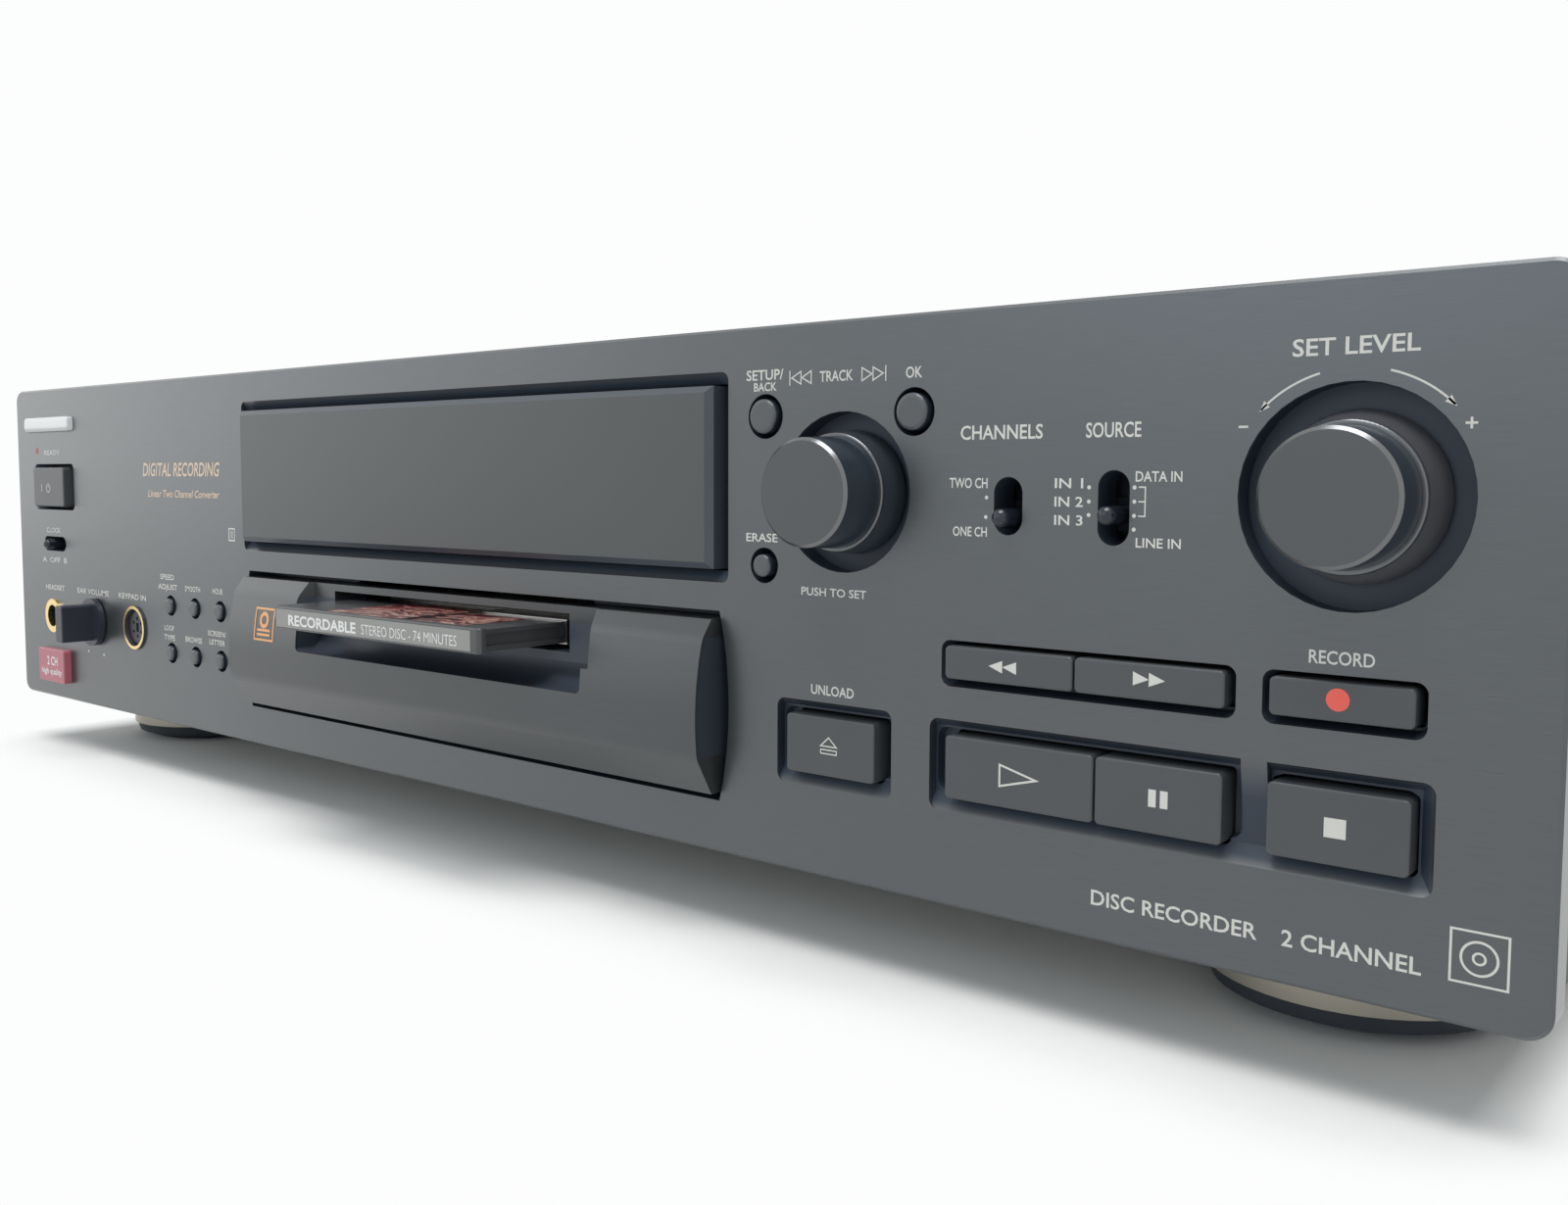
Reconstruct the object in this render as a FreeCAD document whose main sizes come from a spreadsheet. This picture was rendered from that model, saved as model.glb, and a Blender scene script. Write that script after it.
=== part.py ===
import FreeCAD, Part
import math
import os
from types import SimpleNamespace

import Sketcher
from FreeCAD import Placement, Rotation, Vector

os.makedirs("parts", exist_ok=True)
doc = FreeCAD.newDocument("minidisc_deck")

# Driving dimensions in mm. x runs from the centre line to the right, y from the fascia's face into
# the deck and z up from the fascia's lower edge, unless the name says otherwise.
SIZES = {
    # Overall
    "foot_height": 14.4,
    "case_depth": 267.0,
    "cartridge_reach": 19.2,
    "jack_reach": 8.0,
    # Fascia
    "panel_width": 430.0,
    "panel_height": 93.6,
    "panel_thick": 6.0,
    "panel_corner": 3.5,
    "panel_chamfer": 0.5,
    "play_gap": 0.3,
    "flange_thick": 1.5,
    "flange_lap": 2.0,
    # Sheet metal case
    "sheet": 1.0,
    "cover_inset": 2.0,
    "floor_rise": 2.0,
    "floor_thick": 1.2,
    "side_flange_height": 20.0,
    "front_ear_depth": 30.0,
    "front_strip_height": 5.0,
    "rear_strip_height": 12.0,
    "vent_length": 34.0,
    "vent_width": 3.0,
    "vent_pitch": 8.0,
    "vent_count": 12,
    "screw_radius": 1.5,
    "screw_head_radius": 3.2,
    "screw_head_thick": 1.8,
    "screw_length": 6.0,
    # Feet
    "foot_x": 179.4,
    "front_foot_y": 44.0,
    "rear_foot_y": 225.0,
    "foot_radius": 24.0,
    "foot_neck_radius": 20.0,
    "foot_ring_low": 4.65,
    "foot_ring_high": 10.5,
    "foot_pad_radius": 17.4,
    "foot_pad_rim_radius": 22.6,
    "foot_pad_rim_z": 2.0,
    "foot_bore_radius": 7.0,
    "foot_web_thick": 3.0,
    # Display bay and slot bay
    "bay_x": 1.25,
    "bay_groove": 2.4,
    "window_width": 159.0,
    "window_height": 32.4,
    "window_z": 67.6,
    "window_proud": 2.4,
    "window_bevel": 1.2,
    "window_gap": 0.4,
    "window_slope_high": 2.0,
    "window_slope_deep": 1.8,
    "block_width": 159.0,
    "block_low": 10.9,
    "block_high": 42.5,
    "block_recess_low": 9.5,
    "block_recess_high": 43.9,
    "block_bow": 2.2,
    "block_top_face": 39.2,
    "block_top_proud": 4.2,
    "block_belly": 24.0,
    "block_belly_proud": 6.0,
    "block_low_face": 17.8,
    "block_low_proud": 5.7,
    "block_edge_proud": 1.8,
    "block_crease_round": 5.0,
    "cutout_width": 98.7,
    "cutout_flare": 2.2,
    "scoop_low": 26.5,
    "scoop_back": 1.3,
    "scoop_corner": 1.2,
    "slot_plate_low": 31.4,
    "slot_plate_y": -0.7,
    "slot_plate_thick": 4.8,
    "slot_width": 81.5,
    "slot_low": 33.2,
    "slot_high": 40.9,
    "block_wall": 2.6,
    # Keys and buttons
    "key_travel": 0.8,
    "key_flange": 1.0,
    "key_stem_radius": 1.2,
    "key_proud": 1.0,
    "round_hole_radius": 3.85,
    "round_cap_radius": 3.0,
    "round_key_z": 78.15,
    "menu_x": 91.7,
    "yes_x": 122.4,
    "clear_x": 91.5,
    "clear_z": 52.5,
    "clear_hole_radius": 3.1,
    "clear_cap_radius": 2.0,
    "small_hole_radius": 2.8,
    "small_cap_radius": 2.0,
    "small_key_x": -119.6,
    "small_key_pitch": 13.1,
    "small_key_z": 19.55,
    "small_row_pitch": 12.95,
    "pocket_depth": 3.5,
    "pocket_corner": 1.6,
    "pocket_taper": 10.0,
    "cap_corner": 0.8,
    "cap_edge": 0.35,
    "split_gap": 0.3,
    "eject_x": 106.6,
    "transport_z": 22.6,
    "transport_high": 10.0,
    "transport_pocket_high": 14.6,
    "ledge_high": 2.6,
    "brow_high": 1.3,
    "slope_deep": 2.0,
    "slope_end": 2.0,
    "eject_wide": 18.4,
    "eject_pocket_wide": 24.0,
    "play_left": 129.5,
    "play_right": 174.1,
    "play_split": 155.0,
    "play_pocket_left": 126.0,
    "play_pocket_right": 176.2,
    "stop_x": 189.3,
    "stop_wide": 18.2,
    "stop_pocket_left": 179.8,
    "stop_pocket_right": 201.0,
    "upper_z": 39.1,
    "upper_high": 5.2,
    "upper_pocket_high": 7.3,
    "upper_pocket_z": 38.8,
    "seek_left": 129.3,
    "seek_right": 174.1,
    "seek_split": 151.4,
    "seek_pocket_left": 128.1,
    "seek_pocket_right": 175.3,
    "record_wide": 18.4,
    "record_pocket_wide": 20.8,
    "power_x": -189.6,
    "power_z": 64.2,
    "power_wide": 20.4,
    "power_high": 11.6,
    "power_pocket_wide": 26.4,
    "power_pocket_high": 13.8,
    "power_proud": 1.8,
    "standby_x": -200.8,
    "standby_z": 75.1,
    "standby_radius": 1.0,
    # Rotary knobs
    "dial_x": 108.5,
    "dial_z": 65.3,
    "dial_well_radius": 13.3,
    "dial_proud": 11.0,
    "dial_face_radius": 8.8,
    "dial_travel": 0.6,
    "level_x": 189.6,
    "level_z": 65.4,
    "level_well_radius": 14.8,
    "level_proud": 9.5,
    "level_face_radius": 8.9,
    "well_depth": 4.0,
    "well_floor_gap": 1.0,
    "knob_chamfer": 0.5,
    "knob_draft": 0.35,
    "knob_shoulder_y": -2.6,
    "knob_shoulder_step": 0.55,
    "knob_shoulder_round": 0.3,
    "dial_flare": 0.6,
    "level_flare": 1.6,
    "shaft_radius": 3.0,
    "shaft_clearance": 0.05,
    "bush_radius": 3.7,
    "encoder_size": 12.0,
    "encoder_front": 7.0,
    "plunger_radius": 2.4,
    "plunger_length": 4.5,
    "phones_level_x": -165.0,
    "jack_row_z": 25.0,
    "phones_collar_radius": 6.9,
    "phones_collar_thick": 1.5,
    "phones_bar_wide": 4.2,
    "phones_bar_high": 10.7,
    "phones_bar_proud": 10.5,
    # Front sockets, badge and slide switches
    "phones_x": -192.5,
    "phones_ring_radius": 5.1,
    "phones_bore_radius": 3.3,
    "phones_bore_depth": 32.0,
    "ring_proud": 0.6,
    "keyboard_x": -140.5,
    "keyboard_ring_radius": 6.2,
    "keyboard_bore_radius": 5.2,
    "keyboard_core_radius": 4.6,
    "keyboard_pin_radius": 0.5,
    "keyboard_pin_reach": 2.5,
    "keyboard_key_wide": 1.4,
    "keyboard_bore_depth": 7.0,
    "badge_x": -190.85,
    "badge_z": 5.0,
    "badge_wide": 17.3,
    "badge_high": 10.0,
    "badge_thick": 2.2,
    "timer_x": -190.4,
    "timer_z": 47.0,
    "timer_slot_long": 14.8,
    "timer_slot_wide": 4.4,
    "timer_step": 3.6,
    "mode_x": 139.6,
    "input_x": 156.8,
    "lever_slot_z": 63.5,
    "lever_slot_wide": 4.9,
    "mode_slot_high": 8.8,
    "input_slot_high": 10.8,
    "mode_rest": -1.7,
    "input_rest": -1.05,
    "lever_radius": 1.4,
    "lever_proud": 3.4,
    "lever_slide_thick": 1.2,
    "lever_slide_wide": 6.6,
    "lever_slide_high": 5.0,
    # Front boards
    "board_y": 14.0,
    "board_thick": 1.6,
    "board_low": 9.0,
    "board_high": 89.0,
    "board_inner_x": 87.0,
    "board_outer_x": 206.0,
    "boss_radius": 2.5,
    "boss_inner_x": 100.0,
    "boss_inset": 4.0,
    "display_board_low": 49.0,
    "display_board_half": 84.5,
    "display_boss_x": 80.5,
    "display_boss_z": 17.0,
    "tube_wide": 150.0,
    "tube_high": 26.0,
    "tube_front": 8.4,
    "tact_size": 6.0,
    "tact_cap_radius": 1.6,
    "tact_body_deep": 3.5,
    # Cartridge and disc, standard sizes
    "cartridge_wide": 72.0,
    "cartridge_deep": 68.0,
    "cartridge_thick": 5.0,
    "cartridge_corner": 1.0,
    "groove_front": 1.8,
    "cartridge_edge": 0.4,
    "cartridge_lift": 0.9,
    "cavity_radius": 33.0,
    "cavity_wall": 0.9,
    "hub_hole_radius": 9.0,
    "shutter_long": 24.0,
    "shutter_reach": 27.0,
    "shutter_thick": 0.3,
    "shutter_clearance": 0.05,
    "shutter_travel": 20.0,
    "head_window_wide": 16.0,
    "head_window_reach": 22.0,
    "groove_low": 1.4,
    "groove_high": 2.4,
    "groove_deep": 0.8,
    "disc_radius": 32.0,
    "disc_thick": 1.2,
    "disc_hub_radius": 8.0,
    "disc_hub_thick": 0.8,
    # Loading and playing mechanism, x and y from the spindle's axis
    "load_travel": 33.0,
    "holder_gap": 0.3,
    "holder_sheet": 0.8,
    "holder_lip": 6.0,
    "holder_front": 12.0,
    "holder_deep": 72.0,
    "holder_leg": 8.0,
    "mech_left": 80.0,
    "mech_right": 84.0,
    "mech_front_y": 10.0,
    "mech_deep": 90.0,
    "mech_plate_z": 17.0,
    "mech_plate_thick": 1.2,
    "mech_leg_radius": 3.0,
    "spindle_motor_radius": 10.0,
    "spindle_motor_high": 7.8,
    "turntable_radius": 8.0,
    "turntable_gap": 0.5,
    "turntable_thick": 4.5,
    "spindle_radius": 1.0,
    "sled_travel": 16.0,
    "rod_radius": 1.5,
    "rod_spacing": 32.0,
    "rod_z": 24.5,
    "rod_start": 6.0,
    "rod_length": 52.0,
    "support_long": 4.0,
    "support_wide": 6.0,
    "carriage_start": 13.0,
    "carriage_long": 23.0,
    "carriage_wide": 40.0,
    "carriage_z": 21.0,
    "carriage_high": 7.0,
    "lens_x": 15.5,
    "lens_radius": 2.2,
    "arm_web_x": 40.0,
    "arm_web_thick": 4.0,
    "arm_web_wide": 12.0,
    "head_arm_z": 43.0,
    "head_arm_thick": 1.5,
    "head_arm_wide": 8.0,
    "head_drop": 1.6,
    "head_size": 6.0,
    "screw_y": 24.0,
    "lead_screw_radius": 1.5,
    "sled_motor_radius": 6.0,
    "sled_motor_long": 15.0,
    "gear_module": 1.0,
    "gear_teeth": 16,
    "pinion_teeth": 8,
    "gear_thick": 4.0,
    "gear_backlash": 0.25,
    "slider_x": -41.0,
    "slider_wide": 4.5,
    "slider_long": 52.0,
    "slider_start": -26.0,
    "slider_high": 5.0,
    "slider_rail": 0.8,
    "catch_y": -7.0,
    "catch_long": 3.0,
    "catch_high": 2.0,
    "gear_y": 20.0,
    "gear_post_radius": 2.0,
    "load_motor_radius": 9.0,
    "load_motor_high": 12.0,
    # Boards and supply behind the mechanism
    "main_board_x": -50.0,
    "main_board_wide": 270.0,
    "main_board_y": 128.0,
    "main_board_deep": 126.0,
    "main_board_z": 12.0,
    "transformer_x": 150.0,
    "transformer_y": 170.0,
    "core_wide": 57.0,
    "core_deep": 30.0,
    "core_high": 48.0,
    "winding_deep": 46.0,
    "winding_wide": 34.0,
    # Rear panel and its sockets
    "rear_z": 62.0,
    "line_x": -150.0,
    "line_pitch": 18.0,
    "line_row": 18.0,
    "line_radius": 4.15,
    "line_collar_radius": 6.0,
    "line_bore_radius": 1.6,
    "line_low": 26.0,
    "digital_x": -70.0,
    "digital_pitch": 20.0,
    "digital_size": 12.0,
    "mains_x": 160.0,
    "mains_z": 30.0,
    "mains_wide": 20.0,
    "mains_high": 12.0,
    "mains_bore_wide": 15.0,
    "mains_bore_high": 8.6,
    "mains_bore_deep": 9.0,
    "mains_pin_radius": 1.2,
    "mains_pin_pitch": 8.6,
    "mains_body_deep": 14.0,
}


class Length:
    """A length that knows its number in mm and its formula in the sheet."""

    def __init__(self, value, formula):
        self.value = float(value)
        self.formula = formula

    def joined(self, sign, other, value):
        return Length(value, f"({self.formula} {sign} {length(other).formula})")

    def __add__(self, other):
        return self.joined("+", other, self.value + length(other).value)

    def __sub__(self, other):
        return self.joined("-", other, self.value - length(other).value)

    def __mul__(self, other):
        return self.joined("*", other, self.value * length(other).value)

    def __truediv__(self, other):
        return self.joined("/", other, self.value / length(other).value)

    def __radd__(self, other):
        return length(other) + self

    def __rsub__(self, other):
        return length(other) - self

    def __rmul__(self, other):
        return length(other) * self

    def __neg__(self):
        return length(0) - self

    def __float__(self):
        return self.value


def length(thing):
    """Turns a plain number into a Length and leaves a Length as it is."""
    if isinstance(thing, Length):
        return thing
    return Length(thing, f"({float(thing)})")


def filled_sheet():
    """Writes the driving dimensions into the sheet, one named cell each."""
    sheet = doc.addObject("Spreadsheet::Sheet", "sizes")
    for row, (name, value) in enumerate(SIZES.items(), 1):
        sheet.set(f"A{row}", name)
        sheet.set(f"B{row}", str(value))
        sheet.setAlias(f"B{row}", name)
    doc.recompute()
    return SimpleNamespace(**{name: Length(value, f"sizes.{name}") for name, value in SIZES.items()})


s = filled_sheet()
sub_parts = []

AXES = {"x": Rotation(Vector(0, 1, 0), 90), "y": Rotation(Vector(1, 0, 0), -90), "z": Rotation()}
# The whole box, from the cartridge's spine to the rear jacks, is centred on the origin.
FRONT_Y = (s.cartridge_reach - s.case_depth - s.jack_reach) / 2


def bind(thing, **lengths):
    """Ties properties of an object to the sheet."""
    for name, size in lengths.items():
        thing.setExpression(name, length(size).formula)
    return thing


def move(thing, x, y, z):
    """Ties the place of an object to the sheet."""
    for axis, place in zip("xyz", (x, y, z)):
        thing.setExpression(f"Placement.Base.{axis}", length(place).formula)
    return thing


def block(name, wide, deep, high, x=0, y=0, z=0):
    """A block centred on x, with its front at y and its underside at z."""
    box = bind(doc.addObject("Part::Box", name), Length=wide, Width=deep, Height=high)
    return move(box, length(x) - length(wide) / 2, y, z)


def rod(name, radius, long, x=0, y=0, z=0, axis="y"):
    """A round rod that starts at x, y, z and runs along an axis."""
    cylinder = bind(doc.addObject("Part::Cylinder", name), Radius=radius, Height=long)
    cylinder.Placement = Placement(Vector(), AXES[axis])
    return move(cylinder, x, y, z)


def fuse(name, *parts):
    fused = doc.addObject("Part::MultiFuse", name)
    fused.Shapes = list(parts)
    fused.Refine = True
    return fused


def common(name, *parts):
    """What all the parts have in common."""
    shared = doc.addObject("Part::MultiCommon", name)
    shared.Shapes = list(parts)
    shared.Refine = True
    return shared


def group(name, *parts):
    """Separate solids that share one node."""
    grouped = doc.addObject("Part::Compound", name)
    grouped.Links = list(parts)
    return grouped


def cut(name, base, *tools):
    tool = tools[0] if len(tools) == 1 else fuse(f"{name}_tools", *tools)
    result = doc.addObject("Part::Cut", name)
    result.Base = base
    result.Tool = tool
    result.Refine = True
    return result


def stadium(name, wide, high, deep, x=0, y=0, z=0):
    """A slot with round ends, upright when it is higher than it is wide."""
    upright = length(high).value > length(wide).value
    radius = length(wide if upright else high) / 2
    reach = (length(high) - length(wide)) / 2 if upright else (length(wide) - length(high)) / 2
    middle_wide = wide if upright else reach * 2
    middle_high = reach * 2 if upright else high
    middle = block(f"{name}_middle", middle_wide, deep, middle_high, x, y, z - length(middle_high) / 2)
    ends = []
    for side, sign in (("a", -1), ("b", 1)):
        end_x = x if upright else x + reach * sign
        end_z = z + reach * sign if upright else z
        ends.append(rod(f"{name}_end_{side}", radius, deep, end_x, y, end_z))
    return fuse(name, middle, *ends)


def new_body(name):
    return doc.addObject("PartDesign::Body", name)


def plane(body, role):
    return next(item for item in body.Origin.OriginFeatures if item.Role == role)


def new_sketch(body, role, name, offset=0):
    """A sketch on one of the body's own planes, moved along the plane's normal."""
    sketch = body.newObject("Sketcher::SketchObject", name)
    sketch.AttachmentSupport = [(plane(body, role), "")]
    sketch.MapMode = "FlatFace"
    sketch.setExpression("AttachmentOffset.Base.z", length(offset).formula)
    return sketch


def fix_point(sketch, geometry, end, x, y):
    """Holds a point of a sketch at two lengths from its origin."""
    for kind, size in (("DistanceX", length(x)), ("DistanceY", length(y))):
        index = sketch.addConstraint(Sketcher.Constraint(kind, -1, 1, geometry, end, size.value))
        sketch.setExpression(f"Constraints[{index}]", size.formula)


def polygon(sketch, points):
    """A closed outline of straight lines through named points."""
    count = len(points)
    flat = [Vector(length(x).value, length(y).value, 0) for x, y in points]
    first = sketch.GeometryCount
    for index in range(count):
        sketch.addGeometry(Part.LineSegment(flat[index], flat[(index + 1) % count]), False)
    for index in range(count):
        following = first + (index + 1) % count
        sketch.addConstraint(Sketcher.Constraint("Coincident", first + index, 2, following, 1))
    for index, (x, y) in enumerate(points):
        fix_point(sketch, first + index, 1, x, y)
    return sketch


def rectangle(sketch, wide, high, x=0, y=0):
    """A rectangle centred on x, y."""
    half_wide = length(wide) / 2
    half_high = length(high) / 2
    x, y = length(x), length(y)
    corners = [
        (x - half_wide, y - half_high),
        (x + half_wide, y - half_high),
        (x + half_wide, y + half_high),
        (x - half_wide, y + half_high),
    ]
    return polygon(sketch, corners)


def pad(body, sketch, name, size, backwards=False):
    feature = bind(body.newObject("PartDesign::Pad", name), Length=size)
    feature.Profile = sketch
    feature.Reversed = backwards
    doc.recompute()
    return feature


def turn(body, sketch, name):
    """Turns an outline about the sketch's upright axis."""
    feature = body.newObject("PartDesign::Revolution", name)
    feature.Profile = sketch
    feature.ReferenceAxis = (sketch, ["V_Axis"])
    feature.Angle = 360
    doc.recompute()
    return feature


def soften(body, kind, name, size, chosen):
    """Rounds or bevels the edges of a body that a test picks."""
    base = body.Tip
    names = [f"Edge{i}" for i, edge in enumerate(base.Shape.Edges, 1) if chosen(edge)]
    feature = body.newObject(f"PartDesign::{kind}", name)
    feature.Base = (base, names)
    bind(feature, **{"Radius" if kind == "Fillet" else "Size": size})
    doc.recompute()
    return feature


def runs_along(axis):
    """Picks straight edges that run along an axis, or nearly so."""

    def test(edge):
        chord = edge.lastVertex().Point - edge.firstVertex().Point
        straight = abs(chord.Length - edge.Length) < 0.001
        return straight and abs(getattr(chord, axis)) > edge.Length * math.cos(math.radians(20))

    return test


def lies_at(axis, place):
    """Picks edges that lie wholly in a plane."""
    value = length(place).value

    def test(edge):
        low = getattr(edge.BoundBox, f"{axis.upper()}Min")
        high = getattr(edge.BoundBox, f"{axis.upper()}Max")
        return abs(low - value) < 0.001 and abs(high - value) < 0.001

    return test


def front_pad(name, wide, high, deep, corner, y=0, taper=0, edge=0):
    """A block with round corners seen from the front, from y into the deck, and soft front edges."""
    body = new_body(name)
    sketch = rectangle(new_sketch(body, "XZ_Plane", f"{name}_outline", -length(y)), wide, high)
    feature = pad(body, sketch, f"{name}_pad", deep, backwards=True)
    if taper:
        feature.setExpression("TaperAngle", (-length(taper)).formula)
        doc.recompute()
    soften(body, "Fillet", f"{name}_corners", corner, runs_along("y"))
    if edge:
        soften(body, "Fillet", f"{name}_edge", edge, lies_at("y", y))
    return body


def sub_part(feature, label, x=0, y=0, z=0):
    """Names a finished sub-part and sets its place in the deck."""
    feature.Label = label
    move(feature, x, FRONT_Y + y, s.foot_height + z)
    sub_parts.append(feature)
    return feature


# The case: every height here is from the fascia's lower edge.
cover_width = s.panel_width - s.cover_inset * 2
cover_top = s.panel_height - s.cover_inset
inner_width = cover_width - s.sheet * 2
case_back = s.case_depth - s.sheet
floor_top = s.floor_rise + s.floor_thick
board_back = s.board_y + s.board_thick


def top_cover():
    """The folded cover: an upside-down U with two rows of vents."""
    long = case_back - s.panel_thick
    high = cover_top - s.floor_rise
    body = new_body("cover")
    sketch = new_sketch(body, "XZ_Plane", "cover_section")
    half = cover_width / 2
    inner = inner_width / 2
    outline = [
        (-half, 0), (-inner, 0), (-inner, high - s.sheet), (inner, high - s.sheet),
        (inner, 0), (half, 0), (half, high), (-half, high),
    ]
    polygon(sketch, outline)
    pad(body, sketch, "cover_fold", long, backwards=True)
    soften(body, "Fillet", "cover_bends", s.sheet * 2, lambda edge: runs_along("y")(edge)
           and lies_at("z", high)(edge))
    vents = []
    count = int(s.vent_count.value)
    for row, y in enumerate((long * 0.30, long * 0.55)):
        for index in range(count):
            x = s.transformer_x / 2 + s.vent_pitch * (index - (count - 1) / 2)
            vents.append(stadium_up(f"vent_{row}_{index}", x, y, high - s.sheet * 2))
    holes = []
    for side, sign in (("left", -1), ("right", 1)):
        for index, y in enumerate((side_screw_y(0), side_screw_y(1))):
            start = half * sign - s.sheet * 2
            holes.append(rod(f"cover_hole_{side}_{index}", s.screw_radius + s.shaft_clearance,
                             s.sheet * 4, start, y - s.panel_thick, side_screw_z - s.floor_rise, "x"))
    return sub_part(cut("cover_cut", body, *vents, *holes), "top_cover", 0, s.panel_thick, s.floor_rise)


def stadium_up(name, x, y, z):
    """One vent in the cover's top: a slot with round ends that runs into the deck."""
    reach = s.vent_length / 2
    middle = block(f"{name}_middle", s.vent_width, reach * 2, s.sheet * 4, x, y - reach, z)
    ends = [rod(f"{name}_{i}", s.vent_width / 2, s.sheet * 4, x, y + reach * sign, z, "z")
            for i, sign in enumerate((-1, 1))]
    return fuse(name, middle, *ends)


side_screw_z = floor_top + s.side_flange_height / 2


def side_screw_y(index):
    """Where the two screws in each side of the cover stand."""
    return s.case_depth * (0.25 if index == 0 else 0.85)


def base_chassis():
    """The folded tray that carries everything: floor, side flanges, front ears and strip."""
    long = case_back - s.panel_thick
    floor = block("floor", inner_width, long, s.floor_thick)
    parts = [floor]
    for side, sign in (("left", -1), ("right", 1)):
        x = (inner_width / 2 - s.sheet / 2) * sign
        parts.append(block(f"flange_{side}", s.sheet, long, s.side_flange_height, x, 0, s.floor_thick))
        ear_high = s.panel_height - s.floor_rise - s.cover_inset * 3
        parts.append(block(f"ear_{side}", s.sheet, s.front_ear_depth, ear_high, x))
    parts.append(block("front_strip", inner_width, s.sheet, s.front_strip_height))
    parts.append(block("rear_strip", inner_width, s.sheet, s.rear_strip_height, 0, long - s.sheet))
    for name, x, y in mech_legs():
        parts.append(rod(f"pillar_{name}", s.mech_leg_radius,
                         s.mech_plate_z - s.floor_rise, x, y - s.panel_thick, 0, "z"))
    for name, x, y in board_posts():
        parts.append(rod(f"post_{name}", s.mech_leg_radius,
                         s.main_board_z - s.floor_rise, x, y - s.panel_thick, 0, "z"))
    tools = []
    for name, x, y in foot_places():
        tools.append(rod(f"floor_hole_{name}", s.screw_radius + s.shaft_clearance, s.floor_thick * 3,
                         x, y - s.panel_thick, -s.floor_thick, "z"))
    for side, sign in (("left", -1), ("right", 1)):
        for index in (0, 1):
            start = inner_width / 2 * sign - s.sheet * 2
            tools.append(rod(f"flange_hole_{side}_{index}", s.screw_radius + s.shaft_clearance,
                             s.sheet * 4, start, side_screw_y(index) - s.panel_thick,
                             side_screw_z - s.floor_rise, "x"))
    for index in range(3):
        tools.append(rod(f"rear_strip_hole_{index}", s.screw_radius + s.shaft_clearance, s.sheet * 4,
                         rear_screw_x(index), long - s.sheet * 2, rear_screw_z - s.floor_rise))
    solid = fuse("tray", *parts)
    return sub_part(cut("tray_cut", solid, *tools), "base_chassis", 0, s.panel_thick, s.floor_rise)


rear_screw_z = floor_top + s.screw_head_radius + s.sheet


def rear_screw_x(index):
    return s.panel_width * (-0.42, 0.12, 0.42)[index]


def foot_places():
    """The four feet: name, x and y."""
    return [
        ("front_left", -s.foot_x, s.front_foot_y),
        ("front_right", s.foot_x, s.front_foot_y),
        ("rear_left", -s.foot_x, s.rear_foot_y),
        ("rear_right", s.foot_x, s.rear_foot_y),
    ]


def mech_legs():
    """Where the mechanism stands on the floor: name, x and y."""
    front = s.mech_front_y + s.mech_leg_radius * 2
    back = s.mech_front_y + s.mech_deep - s.mech_leg_radius * 2
    left = s.bay_x - s.mech_left + s.mech_leg_radius * 2
    right = s.bay_x + s.mech_right - s.mech_leg_radius * 2
    return [("a", left, front), ("b", right, front), ("c", left, back), ("d", right, back)]


def board_posts():
    """Where the main board stands on the floor: name, x and y."""
    front = s.main_board_y + s.mech_leg_radius * 2
    back = s.main_board_y + s.main_board_deep - s.mech_leg_radius * 2
    left = s.main_board_x - s.main_board_wide / 2 + s.mech_leg_radius * 2
    right = s.main_board_x + s.main_board_wide / 2 - s.mech_leg_radius * 2
    return [("a", left, front), ("b", right, front), ("c", left, back), ("d", right, back)]


def feet():
    """Four turned feet: a neck, a broad ring and a web that the screw clamps."""
    rise = s.foot_height + s.floor_rise
    solids, pads, screws = [], [], []
    for name, x, y in foot_places():
        body = new_body(f"foot_{name}")
        sketch = new_sketch(body, "XZ_Plane", f"foot_{name}_section")
        outline = [
            (s.foot_bore_radius, s.foot_ring_low),
            (s.foot_radius, s.foot_ring_low),
            (s.foot_radius, s.foot_ring_high),
            (s.foot_neck_radius, s.foot_ring_high + s.sheet),
            (s.foot_neck_radius, rise),
            (s.screw_radius + s.shaft_clearance, rise),
            (s.screw_radius + s.shaft_clearance, rise - s.foot_web_thick),
            (s.foot_bore_radius, rise - s.foot_web_thick),
        ]
        polygon(sketch, outline)
        turn(body, sketch, f"foot_{name}_turned")
        solids.append(move(body, x, y, 0))

        sole = new_body(f"sole_{name}")
        sketch = new_sketch(sole, "XZ_Plane", f"sole_{name}_section")
        outline = [
            (0, 0),
            (s.foot_pad_radius, 0),
            (s.foot_pad_rim_radius, s.foot_pad_rim_z),
            (s.foot_radius - s.play_gap * 2, s.foot_ring_low),
            (0, s.foot_ring_low),
        ]
        polygon(sketch, outline)
        turn(sole, sketch, f"sole_{name}_turned")
        pads.append(move(sole, x, y, 0))

        web = rise - s.foot_web_thick
        head = rod(f"foot_head_{name}", s.screw_head_radius, s.screw_head_thick,
                   x, y, web - s.screw_head_thick, "z")
        shank = rod(f"foot_shank_{name}", s.screw_radius, s.foot_web_thick + s.floor_thick * 2,
                    x, y, web, "z")
        screws.append(fuse(f"foot_screw_{name}", head, shank))
    lowered = -s.foot_height
    sub_part(group("feet_group", *solids), "feet", 0, 0, lowered)
    sub_part(group("soles_group", *pads), "foot_pads", 0, 0, lowered)
    return [move(screw, 0, 0, lowered) for screw in screws]


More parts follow.
